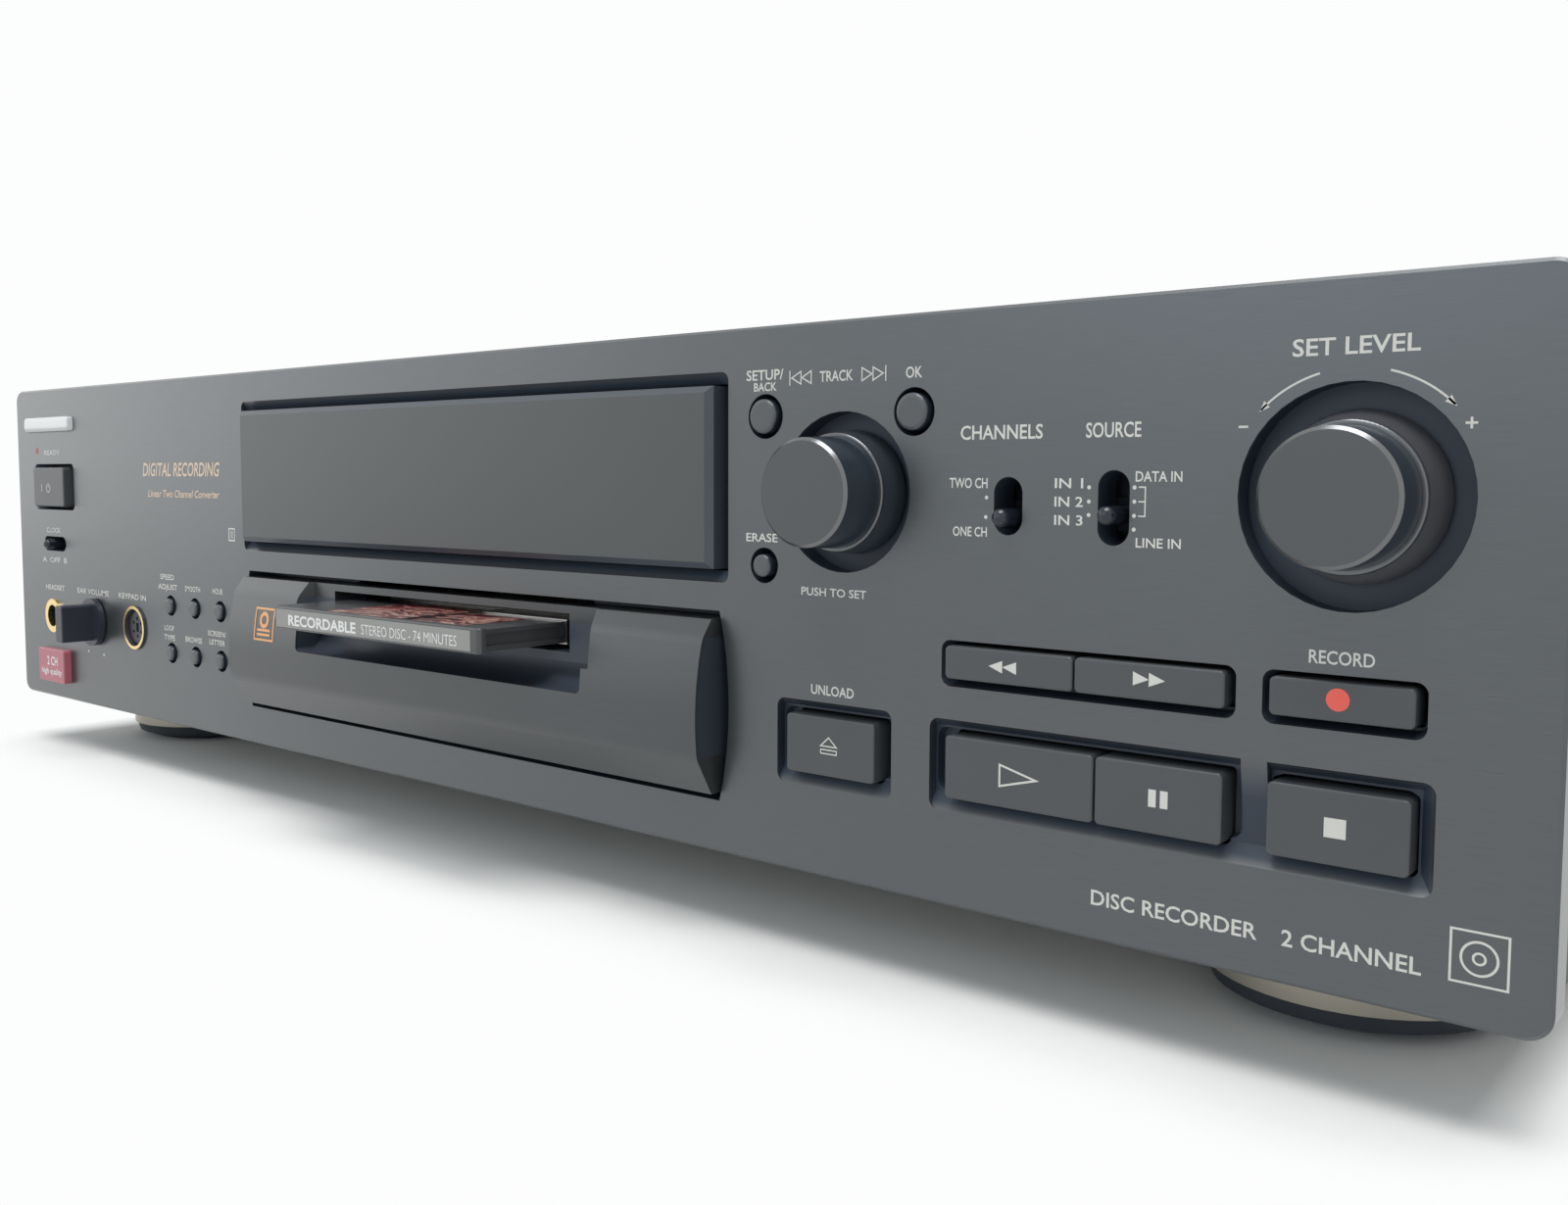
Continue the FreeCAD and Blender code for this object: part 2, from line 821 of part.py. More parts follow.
def case_screws(screws):
    """The feet's screws, four in the cover's sides and three that hold the rear panel."""
    for side, sign in (("left", -1), ("right", 1)):
        for index in (0, 1):
            y = side_screw_y(index)
            face = cover_width / 2 * sign
            head_start = face - (s.screw_head_thick if sign < 0 else 0)
            shank_start = face - (s.screw_length if sign > 0 else 0)
            head = rod(f"side_head_{side}_{index}", s.screw_head_radius, s.screw_head_thick,
                       head_start, y, side_screw_z, "x")
            shank = rod(f"side_shank_{side}_{index}", s.screw_radius, s.screw_length,
                        shank_start, y, side_screw_z, "x")
            screws.append(fuse(f"side_screw_{side}_{index}", head, shank))
    for index in range(3):
        head = rod(f"rear_head_{index}", s.screw_head_radius, s.screw_head_thick,
                   rear_screw_x(index), s.case_depth, rear_screw_z)
        shank = rod(f"rear_shank_{index}", s.screw_radius, s.screw_length,
                    rear_screw_x(index), s.case_depth - s.screw_length, rear_screw_z)
        screws.append(fuse(f"rear_screw_{index}", head, shank))
    return sub_part(group("case_screws_group", *screws), "case_screws")


def rear_panel():
    """The flat rear plate, holed for the sockets and screws."""
    plate = block("rear_plate", inner_width, s.sheet, cover_top - s.sheet - s.floor_rise,
                  0, case_back, s.floor_rise)
    tools = []
    for name, x, z in line_places():
        tools.append(rod(f"rear_line_{name}", s.line_collar_radius, s.sheet * 3, x, case_back - s.sheet, z))
    for index in range(3):
        tools.append(block(f"rear_digital_{index}", s.digital_size, s.sheet * 3, s.digital_size,
                           digital_x(index), case_back - s.sheet, s.line_low - s.digital_size / 2))
    tools.append(rod("rear_coax", s.line_collar_radius, s.sheet * 3,
                     digital_x(3), case_back - s.sheet, s.line_low))
    tools.append(block("rear_mains", s.mains_wide, s.sheet * 3, s.mains_high,
                       s.mains_x, case_back - s.sheet, s.mains_z - s.mains_high / 2))
    for index in range(3):
        tools.append(rod(f"rear_hole_{index}", s.screw_radius + s.shaft_clearance, s.sheet * 3,
                         rear_screw_x(index), case_back - s.sheet, rear_screw_z))
    return sub_part(cut("rear_cut", plate, *tools), "rear_panel")


def line_places():
    """The four line jacks: name, x and z."""
    return [
        ("in_left", s.line_x, s.line_low + s.line_row),
        ("in_right", s.line_x, s.line_low),
        ("out_left", s.line_x + s.line_pitch, s.line_low + s.line_row),
        ("out_right", s.line_x + s.line_pitch, s.line_low),
    ]


def digital_x(index):
    return s.digital_x + s.digital_pitch * index


def round_keys():
    """Keys with round caps: name, x, z, hole radius and cap radius."""
    keys = []
    for row in range(2):
        for column in range(3):
            x = s.small_key_x + s.small_key_pitch * column
            z = s.small_key_z + s.small_row_pitch * (1 - row)
            number = row * 3 + column + 1
            keys.append((f"small_key_{number}", x, z, s.small_hole_radius, s.small_cap_radius))
    keys.append(("menu_button", s.menu_x, s.round_key_z, s.round_hole_radius, s.round_cap_radius))
    keys.append(("yes_button", s.yes_x, s.round_key_z, s.round_hole_radius, s.round_cap_radius))
    keys.append(("clear_button", s.clear_x, s.clear_z, s.clear_hole_radius, s.clear_cap_radius))
    return keys


def flat_keys():
    """Keys with flat caps: name, left, right, z, height and how proud the cap stands."""
    half_gap = s.split_gap / 2
    eject_half = s.eject_wide / 2
    stop_half = s.stop_wide / 2
    record_half = s.record_wide / 2
    power_half = s.power_wide / 2
    proud = s.key_proud
    row, tall = s.transport_z, s.transport_high
    top, low = s.upper_z, s.upper_high
    return [
        ("eject_button", s.eject_x - eject_half, s.eject_x + eject_half, row, tall, proud),
        ("play_button", s.play_left, s.play_split - half_gap, row, tall, proud),
        ("pause_button", s.play_split + half_gap, s.play_right, row, tall, proud),
        ("stop_button", s.stop_x - stop_half, s.stop_x + stop_half, row, tall, proud),
        ("rewind_button", s.seek_left, s.seek_split - half_gap, top, low, proud),
        ("forward_button", s.seek_split + half_gap, s.seek_right, top, low, proud),
        ("record_button", s.stop_x - record_half, s.stop_x + record_half, top, low, proud),
        ("power_button", s.power_x - power_half, s.power_x + power_half, s.power_z, s.power_high,
         s.power_proud),
    ]


def pockets():
    """The wells around the flat keys: name, left, right, z and height."""
    eject = s.eject_pocket_wide / 2
    record = s.record_pocket_wide / 2
    power = s.power_pocket_wide / 2
    # The three tall pockets are only as deep as this between a sloped ledge and a sloped brow.
    tall = s.transport_pocket_high - s.ledge_high - s.brow_high
    row = s.transport_z + (s.ledge_high - s.brow_high) / 2
    top, low = s.upper_pocket_z, s.upper_pocket_high
    return [
        ("eject", s.eject_x - eject, s.eject_x + eject, row, tall),
        ("play", s.play_pocket_left, s.play_pocket_right, row, tall),
        ("stop", s.stop_pocket_left, s.stop_pocket_right - s.slope_end, row, tall),
        ("seek", s.seek_pocket_left, s.seek_pocket_right, top, low),
        ("record", s.stop_x - record, s.stop_x + record, top, low),
        ("power", s.power_x - power, s.power_x + power, s.power_z, s.power_pocket_high),
    ]


def key_windows():
    """The holes behind the pockets, one round each key or pair of keys that touch."""
    tall = {name: (left, right, z, high) for name, left, right, z, high, _ in flat_keys()}
    pairs = [
        ("eject", tall["eject_button"], tall["eject_button"]),
        ("play", tall["play_button"], tall["pause_button"]),
        ("stop", tall["stop_button"], tall["stop_button"]),
        ("seek", tall["rewind_button"], tall["forward_button"]),
        ("record", tall["record_button"], tall["record_button"]),
        ("power", tall["power_button"], tall["power_button"]),
    ]
    return [(name, a[0] - s.play_gap, b[1] + s.play_gap, a[2], a[3] + s.play_gap * 2)
            for name, a, b in pairs]


def front_tools():
    """Everything that is cut out of the fascia."""
    through = s.panel_thick * 3
    start = -s.panel_thick
    opening_wide = s.window_width + s.bay_groove * 2
    opening_high = s.window_height + s.window_gap * 2
    tools = [block("window_opening", opening_wide, through, opening_high,
                   s.bay_x, start, s.window_z - opening_high / 2)]
    tools.append(slot_bay_tool(through))
    tools.extend(sloped_recesses())
    for name, left, right, z, high in pockets():
        tool = front_pad(f"pocket_{name}", right - left, high, s.pocket_depth, s.pocket_corner,
                         0, s.pocket_taper)
        tools.append(move(tool, (left + right) / 2, 0, z))
    for name, left, right, z, high in key_windows():
        tool = front_pad(f"key_window_{name}", right - left, high, through, s.cap_corner, start)
        tools.append(move(tool, (left + right) / 2, 0, z))
    for name, x, z, hole, _ in round_keys():
        tools.append(rod(f"hole_{name}", hole, through, x, start, z))
    for name, x, z, radius in (
        ("dial", s.dial_x, s.dial_z, s.dial_well_radius),
        ("level", s.level_x, s.level_z, s.level_well_radius),
    ):
        tools.append(rod(f"well_{name}", radius, s.well_depth + s.panel_thick, x, start, z))
        tools.append(rod(f"bush_{name}", s.bush_radius, through, x, start, z))
    tools.append(rod("bush_phones", s.bush_radius, through, s.phones_level_x, start, s.jack_row_z))
    tools.append(rod("hole_phones", s.phones_ring_radius, through, s.phones_x, start, s.jack_row_z))
    tools.append(rod("hole_keyboard", s.keyboard_ring_radius, through, s.keyboard_x, start, s.jack_row_z))
    tools.append(rod("hole_standby", s.standby_radius, through, s.standby_x, start, s.standby_z))
    tools.append(stadium("timer_slot", s.timer_slot_long, s.timer_slot_wide, through,
                         s.timer_x, start, s.timer_z))
    tools.append(stadium("mode_slot", s.lever_slot_wide, s.mode_slot_high, through,
                         s.mode_x, start, s.lever_slot_z))
    tools.append(stadium("input_slot", s.lever_slot_wide, s.input_slot_high, through,
                         s.input_x, start, s.lever_slot_z))
    return tools


def sloped_recess(name, left, right, low, high, ledge, brow, deep, end=0):
    """A recess whose floor slopes up to a ledge below, a brow above and, if asked, its right end."""
    wedge = doc.addObject("Part::Wedge", name)
    return bind(wedge, Xmin=left, Xmax=right, X2min=left, X2max=right - end,
                Ymin=0, Ymax=deep, Zmin=low, Zmax=high, Z2min=low + ledge, Z2max=high - brow)


def saddle_ramp(name, left, right, low, high, ledge, deep):
    """A ramp that is level with the fascia at its top and meets the ledge's inner edge."""
    wedge = doc.addObject("Part::Wedge", name)
    return bind(wedge, Xmin=left, Xmax=right, X2min=left, X2max=right,
                Ymin=0, Ymax=deep, Zmin=low, Zmax=high, Z2min=low + ledge, Z2max=low + ledge)


def round_cornered(name, left, right, low, high, *recesses):
    """What of the recesses lies inside one outline with round corners."""
    outline = front_pad(f"{name}_outline", right - left, high - low, s.panel_thick, s.pocket_corner)
    move(outline, (left + right) / 2, 0, (low + high) / 2)
    whole = fuse(f"{name}_whole", *recesses) if len(recesses) > 1 else recesses[0]
    return common(name, outline, whole)


def sloped_recesses():
    """The recesses round the window, eject and the long one that play, pause and stop share."""
    low = s.transport_z - s.transport_pocket_high / 2
    high = s.transport_z + s.transport_pocket_high / 2
    slopes = (s.ledge_high, s.brow_high, s.slope_deep)
    left, right = s.eject_x - s.eject_pocket_wide / 2, s.eject_x + s.eject_pocket_wide / 2
    eject = sloped_recess("eject_recess", left, right, low, high, *slopes)
    recesses = [round_cornered("eject_round", left, right, low, high, eject)]

    left, right = s.play_pocket_left, s.stop_pocket_right
    row = [
        sloped_recess("play_recess", left, s.play_pocket_right, low, high, *slopes),
        saddle_ramp("saddle", s.play_pocket_right, s.stop_pocket_left, low, high,
                    s.ledge_high, s.slope_deep),
        sloped_recess("stop_recess", s.stop_pocket_left, right, low, high, *slopes, s.slope_end),
    ]
    recesses.append(round_cornered("row_round", left, right, low, high, *row))

    half = s.window_width / 2 + s.bay_groove
    left, right = s.bay_x - half, s.bay_x + half
    low = s.window_z - s.window_height / 2 - s.window_gap - s.window_slope_high
    high = s.window_z + s.window_height / 2 + s.window_gap + s.window_slope_high
    window = sloped_recess("window_recess", left, right, low, high, s.window_slope_high,
                           s.window_slope_high, s.window_slope_deep)
    recesses.append(round_cornered("window_round", left, right, low, high, window))
    return recesses


def slot_bay_tool(deep):
    """The slot bay's outline: level top and bottom, and sides that bow out."""
    body = new_body("slot_bay")
    sketch = new_sketch(body, "XZ_Plane", "slot_bay_outline", s.panel_thick)
    half = s.block_width / 2 + s.play_gap
    low, high = s.block_recess_low, s.block_recess_high
    middle = (low + high) / 2
    points = [(-half, low), (half, low), (half, high), (-half, high)]
    flat = [Vector(x.value, y.value, 0) for x, y in points]
    right_bow = Vector((half + s.block_bow).value, middle.value, 0)
    left_bow = Vector(-(half + s.block_bow).value, middle.value, 0)
    sketch.addGeometry(Part.LineSegment(flat[0], flat[1]), False)
    sketch.addGeometry(Part.Arc(flat[1], right_bow, flat[2]), False)
    sketch.addGeometry(Part.LineSegment(flat[2], flat[3]), False)
    sketch.addGeometry(Part.Arc(flat[3], left_bow, flat[0]), False)
    # Both arcs run anticlockwise, so each starts where the line before it ends.
    for first in range(4):
        sketch.addConstraint(Sketcher.Constraint("Coincident", first, 2, (first + 1) % 4, 1))
    fix_point(sketch, 0, 1, -half, low)
    fix_point(sketch, 0, 2, half, low)
    fix_point(sketch, 2, 1, half, high)
    fix_point(sketch, 2, 2, -half, high)
    rise = (high - low) / 2
    radius = (rise * rise + s.block_bow * s.block_bow) / (s.block_bow * 2)
    for arc in (1, 3):
        index = sketch.addConstraint(Sketcher.Constraint("Radius", arc, radius.value))
        sketch.setExpression(f"Constraints[{index}]", radius.formula)
    pad(body, sketch, "slot_bay_pad", deep, backwards=True)
    return move(body, s.bay_x, 0, 0)


def boss_places():
    """The bosses that carry the two side boards: name, x and z."""
    places = []
    for side, sign in (("left", -1), ("right", 1)):
        for row, z in (("low", s.board_low + s.boss_inset), ("high", s.board_high - s.boss_inset)):
            for column, x in (("inner", s.boss_inner_x), ("outer", s.board_outer_x - s.boss_radius)):
                places.append((f"{side}_{row}_{column}", x * sign, z))
    return places


def front_panel():
    """The fascia plate with its wells, pockets and holes, and bosses on its back."""
    body = new_body("fascia")
    sketch = new_sketch(body, "XZ_Plane", "fascia_outline")
    rectangle(sketch, s.panel_width, s.panel_height, 0, s.panel_height / 2)
    pad(body, sketch, "fascia_plate", s.panel_thick, backwards=True)
    soften(body, "Fillet", "fascia_corners", s.panel_corner, runs_along("y"))
    soften(body, "Chamfer", "fascia_edge", s.panel_chamfer, lies_at("y", 0))
    holed = cut("fascia_cut", body, *front_tools())
    bosses = [rod(f"boss_{name}", s.boss_radius, s.board_y - s.panel_thick, x, s.panel_thick, z)
              for name, x, z in boss_places()]
    return sub_part(fuse("fascia_whole", holed, *bosses), "front_panel")


def display_window():
    """The smoked window: a bevelled block, a flange behind the fascia and bosses for its board."""
    face = new_body("window")
    deep = s.window_proud + s.panel_thick
    sketch = new_sketch(face, "XZ_Plane", "window_face", s.window_proud)
    rectangle(sketch, s.window_width, s.window_height)
    pad(face, sketch, "window_block", deep, backwards=True)
    soften(face, "Chamfer", "window_bevel", s.window_bevel, lies_at("y", -s.window_proud))
    lap = (s.bay_groove + s.flange_lap) * 2
    flange = new_sketch(face, "XZ_Plane", "window_flange", -s.panel_thick)
    rectangle(flange, s.window_width + lap, s.window_height + lap)
    pad(face, flange, "window_flange_pad", s.flange_thick, backwards=True)
    back = s.panel_thick + s.flange_thick
    bosses = [rod(f"window_boss_{i}", s.boss_radius, s.board_y - back, s.display_boss_x * across, back,
                  s.display_boss_z * up)
              for i, (across, up) in enumerate(((-1, -1), (1, -1), (1, 1), (-1, 1)))]
    return sub_part(fuse("window_whole", face, *bosses), "display_window", s.bay_x, 0, s.window_z)


def slot_block():
    """The bulging block under the window, with the finger scoop and the cartridge slot."""
    body = new_body("block")
    sketch = new_sketch(body, "YZ_Plane", "block_section", -s.block_width / 2)
    top, low = s.block_high, s.block_low
    points = [
        (s.panel_thick, low),
        (s.panel_thick, top),
        (-s.block_edge_proud, top),
        (-s.block_top_proud, s.block_top_face),
        (-s.block_low_proud, s.block_low_face),
        (-s.block_edge_proud, low),
    ]
    flat = [Vector(y.value, z.value, 0) for y, z in points]
    belly = Vector(-s.block_belly_proud.value, s.block_belly.value, 0)
    count = len(points)
    for index in range(count):
        start, end = flat[index], flat[(index + 1) % count]
        if index == 3:
            sketch.addGeometry(Part.Arc(start, belly, end), False)
        else:
            sketch.addGeometry(Part.LineSegment(start, end), False)
    arc = sketch.Geometry[3]
    flipped = (arc.StartPoint - flat[3]).Length > 0.001
    for index, (y, z) in enumerate(points):
        if index != 4:
            fix_point(sketch, index, 2 if index == 3 and flipped else 1, y, z)
        else:
            fix_point(sketch, index, 1, y, z)
    for index in range(count):
        following = (index + 1) % count
        end = 1 if index == 3 and flipped else 2
        start = 2 if following == 3 and flipped else 1
        sketch.addConstraint(Sketcher.Constraint("Coincident", index, end, following, start))
    index = sketch.addConstraint(Sketcher.Constraint("Radius", 3, arc.Radius))
    sketch.setExpression(f"Constraints[{index}]", belly_radius().formula)
    pad(body, sketch, "block_pad", s.block_width)
    soften(body, "Fillet", "block_creases", s.block_crease_round,
           lambda edge: runs_along("x")(edge) and (lies_at("z", s.block_top_face)(edge)
                                                   or lies_at("z", s.block_low_face)(edge)))

    lap = s.flange_lap + s.bay_groove
    flange = block("block_flange", s.block_width + lap * 2, s.flange_thick,
                   s.block_recess_high - s.block_recess_low + s.flange_lap * 2,
                   0, s.panel_thick, s.block_recess_low - s.flange_lap)
    whole = fuse("block_whole", body, flange)
    front = -s.block_belly_proud * 2
    tools = [
        cutout_tool(front),
        scoop_tool(front),
        block("slot_mouth", s.slot_width, s.panel_thick * 3, s.slot_high - s.slot_low,
              0, -s.panel_thick, s.slot_low),
        block("block_hollow", s.block_width - s.block_wall * 2, s.panel_thick * 2,
              s.scoop_low - s.block_wall - s.block_low_face, 0, s.slot_plate_y, s.block_low_face),
        block("block_relief", s.slot_width, s.panel_thick * 2,
              s.block_recess_high - s.slot_plate_low, 0,
              s.slot_plate_y + s.slot_plate_thick, s.slot_plate_low),
    ]
    return sub_part(cut("block_cut", whole, *tools), "slot_block", s.bay_x)


def cutout_tool(front):
    """The cut above the scoop, open at the top, with sides that flare towards the front."""
    half = s.cutout_width / 2
    wedge = doc.addObject("Part::Wedge", "cutout")
    wide = half + s.cutout_flare * 2
    return bind(wedge, Xmin=-wide, Xmax=wide, X2min=-half, X2max=half, Ymin=front, Ymax=s.slot_plate_y,
                Zmin=s.slot_plate_low, Zmax=s.block_high * 2, Z2min=s.slot_plate_low,
                Z2max=s.block_high * 2)


def scoop_tool(front):
    """The finger scoop: open to the front, rounded at its back and undercut below the slot."""
    high = s.slot_plate_low - s.scoop_low
    round_y = s.scoop_back - high
    outline = front_pad("scoop_outline", s.cutout_width, high * 2, s.scoop_back - front,
                        s.scoop_corner, front)
    move(outline, 0, 0, s.slot_plate_low)
    hollow = rod("scoop_round", high, s.cutout_width, -s.cutout_width / 2, round_y,
                 s.slot_plate_low, "x")
    below = block("scoop_below", s.cutout_width, s.scoop_back - round_y, high, 0, round_y, s.scoop_low)
    mouth = block("scoop_mouth", s.cutout_width, round_y - front, high, 0, front, s.scoop_low)
    return common("scoop", outline, fuse("scoop_whole", common("scoop_back", hollow, below), mouth))


def belly_radius():
    """The radius of the block's front arc, from its chord and the belly's stand-out."""
    rise = s.block_top_face - s.block_low_face
    lean = s.block_low_proud - s.block_top_proud
    chord_square = rise * rise + lean * lean
    bulge = s.block_belly_proud - (s.block_low_proud + s.block_top_proud) / 2
    return chord_square / (bulge * 8) + bulge / 2


def key_stem(name, x=0):
    """The stem behind a key, which stops short of its switch by the key's travel."""
    start = s.panel_thick + s.play_gap + s.key_flange
    return rod(f"{name}_stem", s.key_stem_radius, stem_end - start, x, start, 0)


tact_front = s.board_y - s.tact_body_deep - s.tact_cap_radius
stem_end = tact_front - s.play_gap - s.key_travel


def make_round_keys():
    for name, x, z, hole, cap_radius in round_keys():
        body = new_body(f"{name}_cap")
        sketch = new_sketch(body, "XY_Plane", f"{name}_section")
        flange = s.panel_thick + s.play_gap
        outline = [
            (0, -s.key_proud),
            (cap_radius, -s.key_proud),
            (cap_radius, flange),
            (hole + s.key_flange, flange),
            (hole + s.key_flange, flange + s.key_flange),
            (s.key_stem_radius, flange + s.key_flange),
            (s.key_stem_radius, stem_end),
            (0, stem_end),
        ]
        polygon(sketch, outline)
        turn(body, sketch, f"{name}_turned")
        soften(body, "Fillet", f"{name}_edge", s.cap_edge * 2, lies_at("y", -s.key_proud))
        sub_part(body, name, x, 0, z)


def make_flat_keys():
    for name, left, right, z, high, proud in flat_keys():
        wide = right - left
        cap = front_pad(f"{name}_cap", wide, high, proud + s.panel_thick + s.play_gap,
                        s.cap_corner, -proud, 0, s.cap_edge)
        flange = block(f"{name}_flange", wide, s.key_flange, high + s.key_flange * 2,
                       0, s.panel_thick + s.play_gap, -high / 2 - s.key_flange)
        sub_part(fuse(f"{name}_whole", cap, flange, key_stem(name)), name, (left + right) / 2, 0, z)


def turned_knob(name, proud, face_radius, flare):
    """A knob turned about its axis: bevelled face, slight draft, shoulder, flared skirt and shaft."""
    back = s.well_depth - s.well_floor_gap
    shoulder = s.knob_shoulder_y
    neck = face_radius + s.knob_draft
    rim = neck + s.knob_shoulder_step
    body = new_body(name)
    sketch = new_sketch(body, "XY_Plane", f"{name}_section")
    outline = [
        (0, -proud),
        (face_radius - s.knob_chamfer, -proud),
        (face_radius, -proud + s.knob_chamfer),
        (neck, shoulder),
        (rim, shoulder),
        (rim + flare, back),
        (s.shaft_radius, back),
        (s.shaft_radius, shaft_end),
        (0, shaft_end),
    ]
    polygon(sketch, outline)
    turn(body, sketch, f"{name}_turned")
    soften(body, "Fillet", f"{name}_shoulder", s.knob_shoulder_round,
           lambda edge: lies_at("y", shoulder)(edge) and edge.BoundBox.ZMax > (rim - 0.01).value)
    return body


shaft_end = s.board_y - s.sheet - s.play_gap


def knobs():
    dial = turned_knob("dial", s.dial_proud, s.dial_face_radius, s.dial_flare)
    sub_part(dial, "select_dial", s.dial_x, 0, s.dial_z)
    knob = turned_knob("level", s.level_proud, s.level_face_radius, s.level_flare)
    sub_part(knob, "record_level_knob", s.level_x, 0, s.level_z)
    plunger = rod("plunger", s.plunger_radius, s.plunger_length)
    sub_part(plunger, "select_plunger", s.dial_x, shaft_end + s.play_gap, s.dial_z)

    collar = rod("phones_collar", s.phones_collar_radius, s.phones_collar_thick,
                 0, -s.phones_collar_thick - s.play_gap)
    bar = front_pad("phones_bar", s.phones_bar_wide, s.phones_bar_high,
                    s.phones_bar_proud - s.play_gap, s.cap_corner, -s.phones_bar_proud, 0, s.cap_edge)
    shaft = rod("phones_shaft", s.shaft_radius, shaft_end + s.play_gap, 0, -s.play_gap)
    sub_part(fuse("phones_knob", collar, bar, shaft), "phones_level_knob",
             s.phones_level_x, 0, s.jack_row_z)


def levers():
    """The knobs of the three slide switches, each with the slide that closes its slot behind."""
    def lever(name, label, x, z, wide, high):
        domed = s.lever_proud - s.lever_radius
        stem = rod(f"{name}_stem", s.lever_radius, domed + s.panel_thick + s.play_gap, 0, -domed)
        dome = move(bind(doc.addObject("Part::Sphere", f"{name}_dome"), Radius=s.lever_radius),
                    0, -domed, 0)
        slide = block(f"{name}_slide", wide, s.lever_slide_thick, high,
                      0, s.panel_thick + s.play_gap, -high / 2)
        return sub_part(fuse(f"{name}_lever", stem, dome, slide), label, x, 0, z)

    lever("timer", "timer_lever", s.timer_x, s.timer_z, s.lever_slide_high, s.lever_slide_wide)
    lever("mode", "record_mode_lever", s.mode_x, s.lever_slot_z + s.mode_rest,
          s.lever_slide_wide, s.lever_slide_high)
    lever("input", "input_lever", s.input_x, s.lever_slot_z + s.input_rest,
          s.lever_slide_wide, s.lever_slide_high)


def front_sockets():
    """Headphone jack, keyboard socket, standby lens and badge."""
    ring = rod("phones_ring", s.phones_ring_radius, s.ring_proud + s.panel_thick, 0, -s.ring_proud)
    barrel_deep = s.phones_bore_depth + s.sheet - s.panel_thick
    barrel = block("phones_barrel", s.encoder_size, barrel_deep, s.encoder_size,
                   0, s.panel_thick, -s.encoder_size / 2)
    bore = rod("phones_bore", s.phones_bore_radius, s.phones_bore_depth + s.ring_proud,
               0, -s.ring_proud)
    jack = cut("phones_cut", fuse("phones_body", ring, barrel), bore)
    sub_part(jack, "phones_jack", s.phones_x, 0, s.jack_row_z)

    ring = rod("keyboard_ring", s.keyboard_ring_radius, s.ring_proud + s.panel_thick, 0, -s.ring_proud)
    barrel = block("keyboard_barrel", s.keyboard_ring_radius * 2 + s.sheet,
                   s.board_y - s.panel_thick, s.keyboard_ring_radius * 2 + s.sheet,
                   0, s.panel_thick, -s.keyboard_ring_radius - s.sheet / 2)
    bore = rod("keyboard_bore", s.keyboard_bore_radius, s.keyboard_bore_depth + s.ring_proud,
               0, -s.ring_proud)
    core = rod("keyboard_core", s.keyboard_core_radius, s.keyboard_bore_depth, 0, s.ring_proud)
    holes = [block("keyboard_key", s.keyboard_key_wide, s.keyboard_bore_depth, s.keyboard_pin_reach,
                   0, 0, -s.keyboard_pin_reach / 2)]
    for index in range(6):
        angle = math.radians(60 * index + 30)
        holes.append(rod(f"keyboard_pin_{index}", s.keyboard_pin_radius, s.keyboard_bore_depth,
                         s.keyboard_pin_reach * math.cos(angle), 0,
                         s.keyboard_pin_reach * math.sin(angle)))
    shell = cut("keyboard_shell", fuse("keyboard_body", ring, barrel), bore)
    socket = cut("keyboard_cut", fuse("keyboard_cored", shell, core), *holes)
    sub_part(socket, "keyboard_socket", s.keyboard_x, 0, s.jack_row_z)

    lens = rod("standby", s.standby_radius, s.board_y, 0, 0)
    sub_part(lens, "standby_lens", s.standby_x, 0, s.standby_z)
    plate = front_pad("badge_plate", s.badge_wide, s.badge_high, s.badge_thick, s.cap_corner,
                      -s.badge_thick, 0, s.cap_edge)
    sub_part(plate, "badge", s.badge_x, 0, s.badge_z + s.badge_high / 2)


def tact(name, x, z):
    """One push switch on a front board: body and button, in the deck's own x and z."""
    body = block(f"tact_{name}", s.tact_size, s.tact_body_deep, s.tact_size,
                 x, s.board_y - s.tact_body_deep, z - s.tact_size / 2)
    button = rod(f"tact_{name}_button", s.tact_cap_radius, s.tact_cap_radius,
                 x, tact_front, z)
    return [body, button]


def rotary(name, x, z):
    """The body of a rotary control on a front board, and the bore for its shaft."""
    body = block(f"rotary_{name}", s.encoder_size, s.board_y - s.encoder_front, s.encoder_size,
                 x, s.encoder_front, z - s.encoder_size / 2)
    bore = rod(f"rotary_{name}_bore", s.shaft_radius + s.shaft_clearance,
               s.board_y - s.encoder_front - s.play_gap * 2, x, s.encoder_front, z)
    return body, bore


def switch_body(name, x, z, wide, high):
    """The body of a slide switch on a front board, just behind the slide."""
    front = s.panel_thick + s.play_gap * 2 + s.lever_slide_thick
    return block(f"switch_{name}", wide, s.board_y - front, high, x, front, z - high / 2)


def side_board(name, sign):
    """A front board on one side of the display, as a plain plate."""
    wide = s.board_outer_x - s.board_inner_x
    x = (s.board_outer_x + s.board_inner_x) / 2 * sign
    return block(name, wide, s.board_thick, s.board_high - s.board_low, x, s.board_y, s.board_low)


